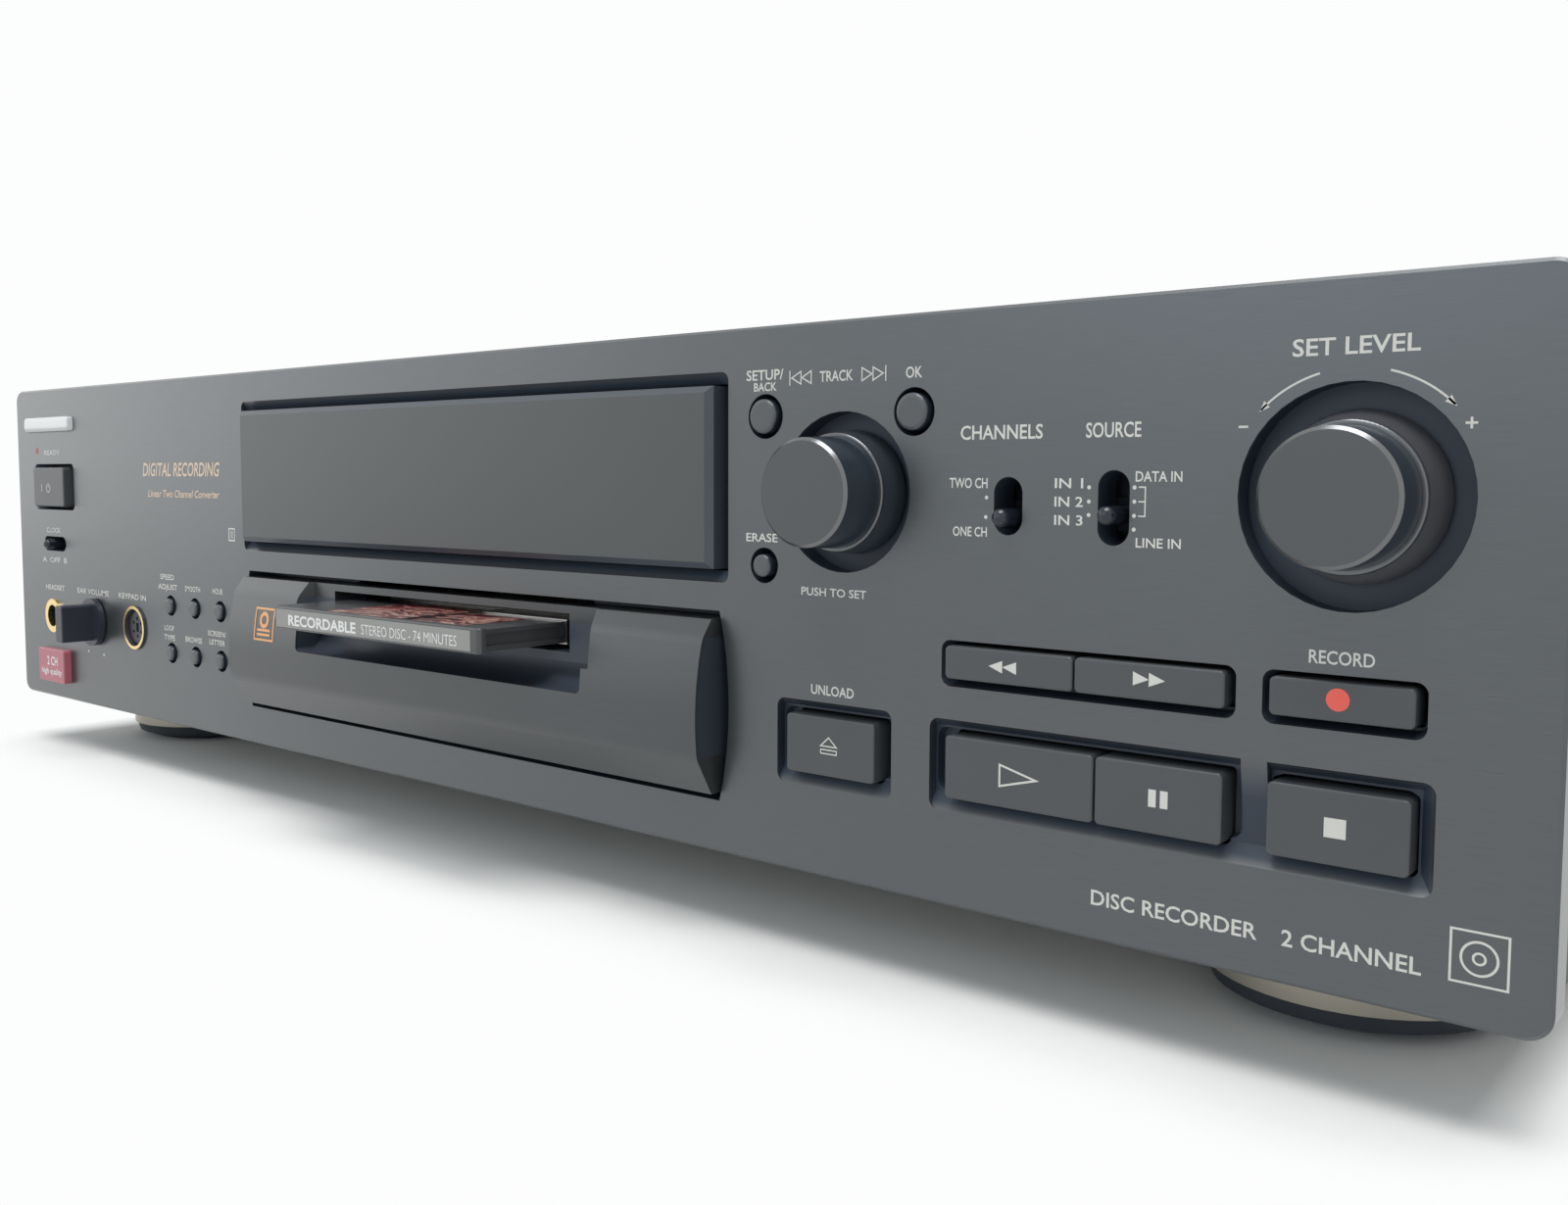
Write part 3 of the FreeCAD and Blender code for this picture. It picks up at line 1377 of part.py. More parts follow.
def control_boards():
    left = [side_board("left_board", -1)]
    right = [side_board("right_board", 1)]
    for name, x, z, _, _ in round_keys():
        (left if x.value < 0 else right).extend(tact(name, x, z))
    for name, low, high, z, _, _ in flat_keys():
        (left if low.value < 0 else right).extend(tact(name, (low + high) / 2, z))
    left_tools, right_tools = [], []
    body, bore = rotary("phones", s.phones_level_x, s.jack_row_z)
    left.append(body)
    left_tools.append(bore)
    for name, x, z in (("dial", s.dial_x, s.dial_z), ("level", s.level_x, s.level_z)):
        body, bore = rotary(name, x, z)
        right.append(body)
        right_tools.append(bore)
    left.append(switch_body("timer", s.timer_x, s.timer_z, s.timer_slot_long, s.lever_slide_wide))
    right.append(switch_body("mode", s.mode_x, s.lever_slot_z, s.lever_slide_wide, s.mode_slot_high))
    right.append(switch_body("input", s.input_x, s.lever_slot_z, s.lever_slide_wide, s.input_slot_high))
    left_tools.append(block("jack_gap", s.encoder_size + s.play_gap * 2, s.board_thick * 3,
                            s.encoder_size + s.play_gap * 2, s.phones_x,
                            s.board_y - s.board_thick, s.jack_row_z - s.encoder_size / 2 - s.play_gap))
    # The push switch under the dial sits on the back of the board.
    push_deep = s.plunger_length + s.dial_travel
    right.append(block("dial_switch", s.encoder_size, push_deep, s.encoder_size,
                       s.dial_x, board_back, s.dial_z - s.encoder_size / 2))
    right_tools.append(rod("plunger_bore", s.plunger_radius + s.shaft_clearance,
                           s.plunger_length + s.dial_travel + s.sheet + s.play_gap,
                           s.dial_x, shaft_end, s.dial_z))
    sub_part(cut("left_cut", fuse("left_whole", *left), *left_tools), "control_board_left")
    sub_part(cut("right_cut", fuse("right_whole", *right), *right_tools), "control_board_right")


def display_parts():
    """The board behind the window and the glass tube it carries."""
    low = s.display_board_low
    plate = block("display_plate", s.display_board_half * 2, s.board_thick, s.board_high - low)
    sub_part(plate, "display_board", s.bay_x - s.display_board_half, s.board_y, low)
    tube = front_pad("tube", s.tube_wide, s.tube_high, s.board_y - s.tube_front, s.cap_corner)
    sub_part(tube, "display_tube", s.bay_x, s.tube_front, s.window_z)


cartridge_z = s.slot_low + s.cartridge_lift


def cartridge():
    """The cartridge: x from its middle, y from its spine and z from its underside."""
    shell = new_body("shell")
    sketch = new_sketch(shell, "XY_Plane", "shell_outline")
    rectangle(sketch, s.cartridge_wide, s.cartridge_deep, 0, s.cartridge_deep / 2)
    pad(shell, sketch, "shell_pad", s.cartridge_thick)
    soften(shell, "Fillet", "shell_corners", s.cartridge_corner, runs_along("z"))
    soften(shell, "Fillet", "shell_edge", s.cartridge_edge,
           lambda edge: lies_at("z", 0)(edge) or lies_at("z", s.cartridge_thick)(edge))
    middle = s.cartridge_deep / 2
    half = s.cartridge_wide / 2
    gap = s.shutter_thick + s.shutter_clearance
    shutter_front = middle - s.shutter_long / 2
    recess_front = shutter_front - s.shutter_travel - s.shutter_clearance
    recess_long = s.shutter_long + s.shutter_travel + s.shutter_clearance * 2
    recess_wide = s.shutter_reach + s.shutter_clearance
    recess_x = half - recess_wide / 2
    window_x = half - s.shutter_reach + (s.shutter_reach - s.head_window_reach) / 2
    tools = [
        rod("cavity", s.cavity_radius, s.cartridge_thick - s.cavity_wall * 2, 0, middle, s.cavity_wall, "z"),
        rod("hub_hole", s.hub_hole_radius, s.cartridge_thick / 2, 0, middle, -s.cavity_wall, "z"),
        block("head_window", s.head_window_reach, s.head_window_wide, s.cartridge_thick * 3,
              window_x + s.head_window_reach / 2, middle - s.head_window_wide / 2, -s.cartridge_thick),
        block("recess_top", recess_wide, recess_long, gap * 2, recess_x, recess_front,
              s.cartridge_thick - gap),
        block("recess_low", recess_wide, recess_long, gap * 2, recess_x, recess_front, -gap),
        block("recess_side", gap * 2, recess_long, s.cartridge_thick * 3, half, recess_front,
              -s.cartridge_thick),
        block("shutter_groove", s.groove_deep * 2, recess_front + recess_long - s.groove_front,
              s.groove_high, half, s.groove_front, s.groove_low),
    ]
    y = -s.cartridge_reach
    sub_part(cut("shell_cut", shell, *tools), "cartridge_shell", s.bay_x, y, cartridge_z)

    outer = block("shutter_outer", s.shutter_reach, s.shutter_long, s.cartridge_thick,
                  half - s.shutter_reach / 2, shutter_front)
    inner = block("shutter_inner", s.shutter_reach, s.shutter_long * 2,
                  s.cartridge_thick - s.shutter_thick * 2,
                  half - s.shutter_reach / 2 - s.shutter_thick, shutter_front - s.sheet, s.shutter_thick)
    sub_part(cut("shutter_cut", outer, inner), "cartridge_shutter", s.bay_x, y, cartridge_z)

    plate = rod("disc_plate", s.disc_radius, s.disc_thick, 0, middle,
                (s.cartridge_thick - s.disc_thick) / 2, "z")
    hub = rod("disc_hub", s.disc_hub_radius, s.disc_hub_thick, 0, middle,
              (s.cartridge_thick - s.disc_thick) / 2 - s.disc_hub_thick, "z")
    sub_part(fuse("disc_whole", plate, hub), "disc", s.bay_x, y, cartridge_z)


spindle_y = s.load_travel - s.cartridge_reach + s.cartridge_deep / 2
mech_top = s.mech_plate_z + s.mech_plate_thick
gear_radius = s.gear_module * s.gear_teeth / 2
pinion_radius = s.gear_module * s.pinion_teeth / 2
gear_x = s.slider_x - s.slider_wide / 2 - s.gear_module - gear_radius
pinion_y = s.gear_y + (gear_radius + pinion_radius)
gear_z = mech_top + s.play_gap * 2


def holder():
    """The folded channel that the cartridge slides in, on four legs."""
    inner_wide = s.cartridge_wide + s.holder_gap * 2
    inner_high = s.cartridge_thick + s.holder_gap * 2
    low = cartridge_z - s.holder_gap
    sheet = s.holder_sheet
    outer = block("holder_outer", inner_wide + sheet * 2, s.holder_deep, inner_high + sheet * 2,
                  0, s.holder_front, low - sheet)
    tools = [
        block("holder_inner", inner_wide, s.holder_deep * 2, inner_high, 0, 0, low),
        block("holder_belly", inner_wide - s.holder_lip * 2, s.holder_deep * 2, sheet * 3,
              0, 0, low - sheet * 2),
        block("holder_head_gap", inner_wide, s.head_arm_wide + s.support_long * 2, sheet * 4,
              inner_wide / 2, spindle_y - s.head_arm_wide / 2 - s.support_long, low + inner_high - sheet),
        block("holder_lens_gap", inner_wide, s.arm_web_wide + s.support_long * 2, sheet * 4,
              inner_wide / 2, spindle_y - s.arm_web_wide / 2 - s.support_long, low - sheet * 2),
        block("holder_catch_gap", sheet * 4, s.load_travel + s.catch_long + s.play_gap * 4,
              s.catch_high + s.play_gap * 2, -inner_wide / 2,
              spindle_y + s.catch_y - s.catch_long / 2 - s.play_gap * 2,
              cartridge_z + s.cartridge_thick / 2 - s.catch_high / 2 - s.play_gap),
    ]
    legs = []
    for side, sign in (("left", -1), ("right", 1)):
        for end, y in (("front", s.holder_front), ("back", s.holder_front + s.holder_deep - s.holder_leg)):
            legs.append(block(f"holder_leg_{side}_{end}", sheet, s.holder_leg, low - mech_top,
                              (inner_wide / 2 + sheet / 2) * sign, y, mech_top))
    sub_part(fuse("holder_whole", cut("holder_cut", outer, *tools), *legs), "cartridge_holder", s.bay_x)


def mechanism_chassis():
    """The plate that carries the drive, with posts and supports for what turns and slides."""
    wide = s.mech_left + s.mech_right
    centre = (s.mech_right - s.mech_left) / 2
    front = s.mech_front_y - spindle_y
    parts = [block("mech_plate", wide, s.mech_deep, s.mech_plate_thick, centre, front, s.mech_plate_z)]
    support_high = s.rod_z + s.support_wide / 2 - mech_top
    for name, y in (("near", -s.rod_spacing / 2), ("far", s.rod_spacing / 2)):
        for end, x in (("in", s.rod_start), ("out", s.rod_start + s.rod_length - s.support_long)):
            parts.append(block(f"rod_support_{name}_{end}", s.support_long, s.support_wide,
                               support_high, x + s.support_long / 2, y - s.support_wide / 2, mech_top))
    screw_supports = (("in", s.rod_start), ("out", s.rod_start + s.rod_length))
    for end, x in screw_supports:
        parts.append(block(f"screw_support_{end}", s.support_long, s.support_wide, support_high,
                           x + s.support_long / 2, s.screw_y - s.support_wide / 2, mech_top))
    parts.append(rod("gear_post", s.gear_post_radius, gear_z + s.gear_thick - mech_top,
                     gear_x, s.gear_y, mech_top, "z"))
    rail_x = s.slider_x + s.slider_wide / 2 + s.shaft_clearance * 2 + s.slider_rail / 2
    parts.append(block("slider_rail_strip", s.slider_rail, s.mech_deep, s.slider_high / 2,
                       rail_x, front, mech_top))
    tools = [rod(f"rod_hole_{name}", s.rod_radius, s.rod_length, s.rod_start, y, s.rod_z, "x")
             for name, y in (("near", -s.rod_spacing / 2), ("far", s.rod_spacing / 2))]
    tools.append(rod("screw_hole", s.lead_screw_radius + s.shaft_clearance,
                     s.rod_length + s.support_long * 2, s.rod_start, s.screw_y, s.rod_z, "x"))
    tools.append(rod("pinion_hole", s.spindle_radius + s.play_gap, s.mech_plate_thick * 3,
                     gear_x, pinion_y, s.mech_plate_z - s.mech_plate_thick, "z"))
    sub_part(cut("mech_cut", fuse("mech_whole", *parts), *tools), "mechanism_chassis",
             s.bay_x, spindle_y)


drive_motors = []


def spindle():
    """The motor under the disc and the turntable on its shaft."""
    table_top = cartridge_z - s.turntable_gap
    motor = rod("spindle_body", s.spindle_motor_radius, s.spindle_motor_high, 0, 0, mech_top, "z")
    bore = rod("spindle_bore", s.spindle_radius + s.shaft_clearance, s.spindle_motor_high,
               0, 0, mech_top + s.sheet, "z")
    drive_motors.append(cut("spindle_cut", motor, bore))
    table = rod("table_plate", s.turntable_radius, s.turntable_thick,
                0, 0, table_top - s.turntable_thick, "z")
    shaft_low = mech_top + s.sheet + s.play_gap
    shaft = rod("table_shaft", s.spindle_radius, table_top - shaft_low, 0, 0, shaft_low, "z")
    sub_part(fuse("table_whole", table, shaft), "turntable", s.bay_x, spindle_y)


def sled():
    """The optical pickup's carriage, its rods, lead screw and motor, and the head's arm."""
    top = s.carriage_z + s.carriage_high
    carriage = block("carriage", s.carriage_long, s.carriage_wide, s.carriage_high,
                     s.carriage_start + s.carriage_long / 2, -s.carriage_wide / 2, s.carriage_z)
    lens = rod("lens", s.lens_radius, cartridge_z - s.turntable_gap * 2 - top, s.lens_x, 0, top, "z")
    nut_deep = s.screw_y + s.support_wide / 2 - s.carriage_wide / 2
    nut = block("nut", s.support_long * 2, nut_deep, s.carriage_high,
                s.carriage_start + s.carriage_long / 2, s.carriage_wide / 2, s.carriage_z)
    foot_long = s.arm_web_x + s.arm_web_thick - s.carriage_start - s.carriage_long
    foot = block("arm_foot", foot_long, s.arm_web_wide, s.carriage_high,
                 s.carriage_start + s.carriage_long + foot_long / 2, -s.arm_web_wide / 2, s.carriage_z)
    web = block("arm_web", s.arm_web_thick, s.arm_web_wide, pivot_z + s.head_arm_thick - top,
                s.arm_web_x + s.arm_web_thick / 2, -s.arm_web_wide / 2, top)
    tools = [rod(f"carriage_bore_{name}", s.rod_radius + s.shaft_clearance, s.rod_length * 2,
                 0, y, s.rod_z, "x")
             for name, y in (("near", -s.rod_spacing / 2), ("far", s.rod_spacing / 2))]
    tools.append(rod("nut_bore", s.lead_screw_radius + s.shaft_clearance, s.rod_length * 2,
                     0, s.screw_y, s.rod_z, "x"))
    fork_wide = s.head_arm_wide + s.play_gap * 2
    tools.append(block("fork", s.arm_web_thick * 3, fork_wide, s.head_arm_thick * 4,
                       s.arm_web_x + s.arm_web_thick / 2, -fork_wide / 2,
                       s.head_arm_z - s.head_arm_thick))
    tools.append(rod("pivot_bore", s.spindle_radius + s.shaft_clearance, s.arm_web_wide * 2,
                     pivot_x, -s.arm_web_wide, pivot_z))
    whole = fuse("pickup_whole", carriage, lens, nut, foot, web)
    sub_part(cut("pickup_cut", whole, *tools), "pickup", s.bay_x, spindle_y)

    rods = [rod(f"guide_{name}", s.rod_radius, s.rod_length, s.rod_start, y, s.rod_z, "x")
            for name, y in (("near", -s.rod_spacing / 2), ("far", s.rod_spacing / 2))]
    sub_part(group("guide_group", *rods), "guide_rods", s.bay_x, spindle_y)

    screw = rod("screw", s.lead_screw_radius, s.rod_length + s.support_long - s.play_gap, axis="x")
    sub_part(screw, "sled_screw", s.bay_x + s.rod_start, spindle_y + s.screw_y, s.rod_z)
    motor_x = s.rod_start + s.rod_length + s.support_long
    motor = rod("sled_drive", s.sled_motor_radius, s.sled_motor_long, motor_x, s.screw_y, s.rod_z, "x")
    drive_motors.append(motor)

    reach = s.arm_web_x + s.arm_web_thick - s.lens_x + s.head_size / 2
    arm = block("head_strip", reach, s.head_arm_wide, s.head_arm_thick,
                s.lens_x - s.head_size / 2 + reach / 2, -s.head_arm_wide / 2, s.head_arm_z)
    head = block("head", s.head_size, s.head_size, s.head_drop, s.lens_x, -s.head_size / 2,
                 s.head_arm_z - s.head_drop)
    pin = rod("head_pin", s.spindle_radius, s.arm_web_wide, pivot_x, -s.arm_web_wide / 2, pivot_z)
    sub_part(fuse("head_whole", arm, head, pin), "recording_head", s.bay_x, spindle_y)


pivot_x = s.arm_web_x + s.arm_web_thick / 2
pivot_z = s.head_arm_z + s.head_arm_thick / 2


def tooth_outline(radius, teeth, phase):
    """Points of a spur gear with straight-sided teeth, in the plane of the gear."""
    module = s.gear_module.value
    slack = s.gear_backlash.value
    pitch = 2 * math.pi / teeth
    thick_at_pitch = (math.pi * module / 2 - slack) / radius
    tip, root = radius + module - slack, radius - module - slack
    points = []
    for index in range(teeth):
        centre = phase + index * pitch
        for shift, reach in ((-0.75, root), (-0.25, tip), (0.25, tip), (0.75, root)):
            angle = centre + shift * thick_at_pitch
            points.append(Vector(reach * math.cos(angle), reach * math.sin(angle), 0))
    return points


def gear_shape(radius, teeth, phase, bore):
    """A gear blank cut to its teeth and bored, standing on z = 0."""
    points = tooth_outline(radius, teeth, phase)
    face = Part.Face(Part.makePolygon(points + points[:1]))
    solid = face.extrude(Vector(0, 0, s.gear_thick.value))
    return solid.cut(Part.makeCylinder(bore, s.gear_thick.value))


def loading_drive():
    """Slider with its rack, the gear that moves it, and the motor with its pinion."""
    module = s.gear_module.value
    slack = s.gear_backlash.value
    pitch = math.pi * module
    wide, long = s.slider_wide.value, s.slider_long.value
    bar = Part.makeBox(wide, long, s.slider_high.value, Vector(-wide / 2, 0, 0))
    half_tooth = pitch / 4 - slack / 2
    reach = 2 * module - slack
    # A gear tooth points at the rack when the gear's phase is zero, so a gap lies opposite it.
    start = (s.gear_y - s.slider_start).value
    first = math.ceil(-start / pitch) + 1
    last = math.floor((long - start) / pitch)
    for index in range(first, last):
        middle = start + (index + 0.5) * pitch
        outline = [
            Vector(-wide / 2, middle - half_tooth * 1.5, 0),
            Vector(-wide / 2 - reach, middle - half_tooth * 0.5, 0),
            Vector(-wide / 2 - reach, middle + half_tooth * 0.5, 0),
            Vector(-wide / 2, middle + half_tooth * 1.5, 0),
        ]
        face = Part.Face(Part.makePolygon(outline + outline[:1]))
        bar = bar.fuse(face.extrude(Vector(0, 0, s.slider_high.value)))
    rack = doc.addObject("Part::Feature", "rack")
    rack.Shape = bar
    # The catch is a post with a toe that reaches through the holder's side to the cartridge.
    slider_z = mech_top + s.play_gap
    catch_y = s.catch_y - s.slider_start - s.catch_long / 2
    toe_z = cartridge_z + s.cartridge_thick / 2 - s.catch_high / 2 - slider_z
    toe_end = s.cartridge_wide / -2 - s.shaft_clearance - s.slider_x
    toe_start = s.slider_wide / -2
    post = block("catch_post", s.slider_wide, s.catch_long, toe_z + s.catch_high, 0, catch_y)
    toe = block("catch_toe", toe_end - toe_start, s.catch_long, s.catch_high,
                (toe_end + toe_start) / 2, catch_y, toe_z)
    sub_part(fuse("slider_whole", rack, post, toe), "loading_slider", s.bay_x + s.slider_x,
             spindle_y + s.slider_start, slider_z)

    gear = doc.addObject("Part::Feature", "gear")
    bore = (s.gear_post_radius + s.shaft_clearance).value
    gear.Shape = gear_shape(gear_radius.value, int(s.gear_teeth.value), 0, bore)
    sub_part(gear, "loading_gear", s.bay_x + gear_x, spindle_y + s.gear_y, gear_z)

    # The pinion stands behind the gear, where one of the gear's teeth points at it.
    pinion = doc.addObject("Part::Feature", "pinion")
    pinion_phase = -math.pi / 2 + math.pi / int(s.pinion_teeth.value)
    toothed = gear_shape(pinion_radius.value, int(s.pinion_teeth.value), pinion_phase, 0.4)
    drop = (gear_z - s.mech_plate_z).value + s.sheet.value
    shaft = Part.makeCylinder(s.spindle_radius.value, drop + s.gear_thick.value, Vector(0, 0, -drop))
    pinion.Shape = toothed.fuse(shaft).removeSplitter()
    sub_part(pinion, "loading_pinion", s.bay_x + gear_x, spindle_y + pinion_y, gear_z)

    body = rod("load_body", s.load_motor_radius, s.load_motor_high, 0, 0, -s.load_motor_high, "z")
    bore = rod("load_bore", s.spindle_radius + s.shaft_clearance, s.sheet * 3 + s.play_gap,
               0, 0, -s.sheet * 2 - s.play_gap, "z")
    motor = cut("load_cut", body, bore)
    drive_motors.append(move(motor, gear_x, pinion_y, s.mech_plate_z))
    sub_part(group("motor_group", *drive_motors), "drive_motors", s.bay_x, spindle_y)


def main_board():
    """The main board with its chips, capacitors, shield and regulator's heat sink."""
    y, z = s.main_board_y, s.main_board_z
    top = z + s.board_thick
    parts = [block("main_plate", s.main_board_wide, s.main_board_deep, s.board_thick, s.main_board_x, y, z)]
    chips = ((-120, 40, 24, 2.5), (-60, 45, 20, 2.5), (-20, 30, 14, 2), (20, 60, 28, 2.5), (-95, 80, 16, 2))
    for index, (x, back, size, high) in enumerate(chips):
        parts.append(block(f"chip_{index}", size, size, high, x, y + back, top))
    cans = ((45, 20, 8, 25), (62, 20, 8, 25), (48, 44, 6, 18), (66, 44, 6, 18), (-150, 30, 5, 12),
            (-150, 50, 5, 12), (-35, 75, 4, 10), (-45, 75, 4, 10))
    for index, (x, back, radius, high) in enumerate(cans):
        parts.append(rod(f"can_{index}", radius, high, x, y + back, top, "z"))
    parts.append(block("heat_sink", 4, 50, 30, 76, y + 60, top))
    return sub_part(fuse("main_whole", *parts), "main_board")


def power_transformer():
    """A laminated core with its windings, on a foot plate."""
    z = floor_top
    plate = block("core_foot", s.core_wide + s.core_deep, s.core_deep, s.sheet, 0, -s.core_deep / 2)
    core = block("core", s.core_wide, s.core_deep, s.core_high, 0, -s.core_deep / 2, s.sheet)
    coil = front_pad("coil", s.winding_wide, s.core_high - s.sheet * 12, s.winding_deep, s.panel_corner)
    coil_placed = move(coil, 0, -s.winding_deep / 2, s.sheet + s.core_high / 2)
    return sub_part(fuse("transformer_whole", plate, core, coil_placed), "power_transformer",
                    s.transformer_x, s.transformer_y, z)


def rear_sockets():
    """Line jacks, digital jacks and the mains inlet, seated in the rear panel."""
    inside = s.mains_body_deep
    face = s.case_depth
    jacks = []
    block_high = s.line_row + s.line_collar_radius * 2
    block_wide = s.line_pitch + s.line_collar_radius * 2
    jacks.append(block("line_body", block_wide, inside, block_high, s.line_x + s.line_pitch / 2,
                       case_back - inside, s.line_low - s.line_collar_radius))
    bores = []
    for name, x, z in line_places():
        jacks.append(rod(f"line_collar_{name}", s.line_collar_radius, s.sheet * 2, x, case_back, z))
        jacks.append(rod(f"line_barrel_{name}", s.line_radius, s.jack_reach + s.sheet, x, case_back, z))
        bores.append(rod(f"line_bore_{name}", s.line_bore_radius, s.jack_reach + s.sheet, x, face, z))
    sub_part(cut("line_cut", fuse("line_whole", *jacks), *bores), "line_jacks")

    low = s.line_low
    size = s.digital_size
    jacks = []
    for index in range(3):
        x = digital_x(index)
        jacks.append(block(f"optical_{index}", size, inside + s.sheet * 2, size, x,
                           case_back - inside, low - size / 2))
        jacks.append(block(f"optical_door_{index}", size - s.sheet * 3, s.sheet * 2, size - s.sheet * 3,
                           x, face + s.sheet, low - size / 2 + s.sheet * 1.5))
    coax = digital_x(3)
    jacks.append(block("coax_body", size, inside, size, coax, case_back - inside, low - size / 2))
    jacks.append(rod("coax_collar", s.line_collar_radius, s.sheet * 2, coax, case_back, low))
    jacks.append(rod("coax_barrel", s.line_radius, s.jack_reach + s.sheet, coax, case_back, low))
    bar_wide = s.digital_pitch * 3 + size
    jacks.append(block("digital_bar", bar_wide, s.sheet * 2, size, digital_x(0) - size / 2 + bar_wide / 2,
                       case_back - inside, low - size / 2))
    bore = rod("coax_bore", s.line_bore_radius, s.jack_reach + s.sheet, coax, face, low)
    sub_part(cut("digital_cut", fuse("digital_whole", *jacks), bore), "digital_jacks")

    collar = block("mains_collar", s.mains_wide, inside + s.sheet * 2, s.mains_high,
                   0, -inside - s.sheet, -s.mains_high / 2)
    bore = stadium("mains_bore", s.mains_bore_wide, s.mains_bore_high, s.mains_bore_deep + s.sheet * 2,
                   0, s.sheet - s.mains_bore_deep, length(0))
    pins = [rod(f"mains_pin_{i}", s.mains_pin_radius, s.mains_bore_deep, s.mains_pin_pitch / 2 * sign,
                -s.mains_bore_deep)
            for i, sign in enumerate((-1, 1))]
    sub_part(fuse("mains_whole", cut("mains_cut", collar, bore), *pins), "mains_inlet",
             s.mains_x, s.case_depth, s.mains_z)


def check_and_export():
    """Stops at a failed object or a broken shape, and writes each sub-part to its own file."""
    doc.recompute()
    for item in doc.Objects:
        if "Invalid" in item.State or "Error" in item.State:
            raise RuntimeError(f"{item.Name} failed: {item.State}")
    for part in sub_parts:
        shape = part.Shape
        if shape.isNull() or not shape.isValid() or not shape.Solids:
            raise RuntimeError(f"{part.Label} has no valid solid")
        shape.exportStep(f"parts/{part.Label}.step")
    print(f"{len(sub_parts)} sub-parts written")


front_panel()
display_window()
slot_block()
make_flat_keys()
make_round_keys()
knobs()
levers()
front_sockets()
control_boards()
display_parts()
cartridge()
holder()
mechanism_chassis()
spindle()
sled()
loading_drive()
main_board()
power_transformer()
rear_sockets()
rear_panel()
top_cover()
base_chassis()
case_screws(feet())
check_and_export()
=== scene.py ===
# %% [markdown]
# A minidisc deck is a low metal box with a busy front. Its pieces already exist at their real size
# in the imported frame, so this lesson adds what a construction drawing leaves out: the printed
# lettering, the finish of every surface, the light and the camera. Loading the frame comes first,
# because everything that follows is placed by it.

# %% Load the frame
import math

import bpy
import numpy as np
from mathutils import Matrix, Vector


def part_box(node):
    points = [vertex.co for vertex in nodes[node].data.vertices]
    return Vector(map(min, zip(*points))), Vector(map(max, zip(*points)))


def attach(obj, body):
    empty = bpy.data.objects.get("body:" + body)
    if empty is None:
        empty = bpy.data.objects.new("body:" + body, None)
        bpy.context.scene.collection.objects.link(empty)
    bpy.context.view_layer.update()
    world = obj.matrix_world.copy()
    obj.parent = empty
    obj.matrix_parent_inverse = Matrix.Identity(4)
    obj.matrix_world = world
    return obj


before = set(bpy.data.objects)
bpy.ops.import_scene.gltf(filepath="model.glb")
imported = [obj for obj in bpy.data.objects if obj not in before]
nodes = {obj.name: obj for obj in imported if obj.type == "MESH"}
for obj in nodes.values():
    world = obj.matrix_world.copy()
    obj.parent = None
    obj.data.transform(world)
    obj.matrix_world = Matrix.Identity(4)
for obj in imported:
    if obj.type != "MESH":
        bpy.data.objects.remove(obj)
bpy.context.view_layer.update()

# %% [markdown]
# Almost every piece here lies on the fascia, the thick front plate. It is handy to give places as
# millimetres along that plate, counted from its lower left corner, with y running into the deck.
# Two functions turn such a place into metres in the frame and back, so no other number needs
# converting.

# %% Places on the fascia
MM = 0.001
# How far a film of ink stands in front of the surface under it, in mm.
PRINT_LIFT = 0.03
panel_corner = np.array(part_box("front_panel")[0])


def on_panel(x, y, z):
    """Metres in the frame: the fascia's corner plus the given millimetres on each axis."""
    return panel_corner + np.array([x, y, z], float) * MM


def box_on_panel(node):
    """A piece's lowest and highest corners in mm from the fascia's corner."""
    return [(np.array(corner) - panel_corner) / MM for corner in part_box(node)]


def middle_on_panel(node):
    """The middle of a piece's box in mm from the fascia's corner."""
    return sum(box_on_panel(node)) / 2


print("The fascia's corner is at", np.round(panel_corner / MM, 1), "mm")

# %% [markdown]
# The photograph was taken close to the right end with a wide lens. That makes the right knob large
# and the left end small, and no other lens or distance gives the same picture, so the camera
# stands at the real one's place, with its height, turn and lens.

# %% Camera
camera_data = bpy.data.cameras.new("camera")
camera_data.sensor_width = 36.0
camera_data.lens = 31.68
camera_data.shift_x = 0.0013
camera_data.shift_y = -0.0160
camera_data.clip_start = 0.01
camera = bpy.data.objects.new("camera", camera_data)
bpy.context.scene.collection.objects.link(camera)
camera.location = on_panel(460.84, -182.14, 67.62)
camera.rotation_euler = [math.radians(angle) for angle in (85.877, -0.192, 39.553)]
bpy.context.scene.camera = camera
print("The camera stands at", np.round(np.array(camera.location) / MM, 1), "mm")

# %% [markdown]
# A finish is a small network of shader nodes. Wiring them one by one is long to read, so a socket
# gets a thin wrapper whose arithmetic adds the Math nodes. After that a mask can be written as
# `1 - distance / radius`, which is how one thinks about it.

# %% Shader maths
class Wire:
    """One output socket of a finish. Sums and products of wires add Math nodes."""

    def __init__(self, finish, socket):
        self.finish = finish
        self.socket = socket

    def math(self, operation, *others):
        return self.finish.add("ShaderNodeMath", {"operation": operation}, (self, *others))

    def reflected(self, operation, first):
        return self.finish.add("ShaderNodeMath", {"operation": operation}, (first, self))

    def __add__(self, other):
        return self.math("ADD", other)

    def __sub__(self, other):
        return self.math("SUBTRACT", other)

    def __mul__(self, other):
        return self.math("MULTIPLY", other)

    def __truediv__(self, other):
        return self.math("DIVIDE", other)

    def __pow__(self, other):
        return self.math("POWER", other)

    def __gt__(self, other):
        return self.math("GREATER_THAN", other)

    def __lt__(self, other):
        return self.math("LESS_THAN", other)

    def __rsub__(self, first):
        return self.reflected("SUBTRACT", first)

    __radd__ = __add__
    __rmul__ = __mul__


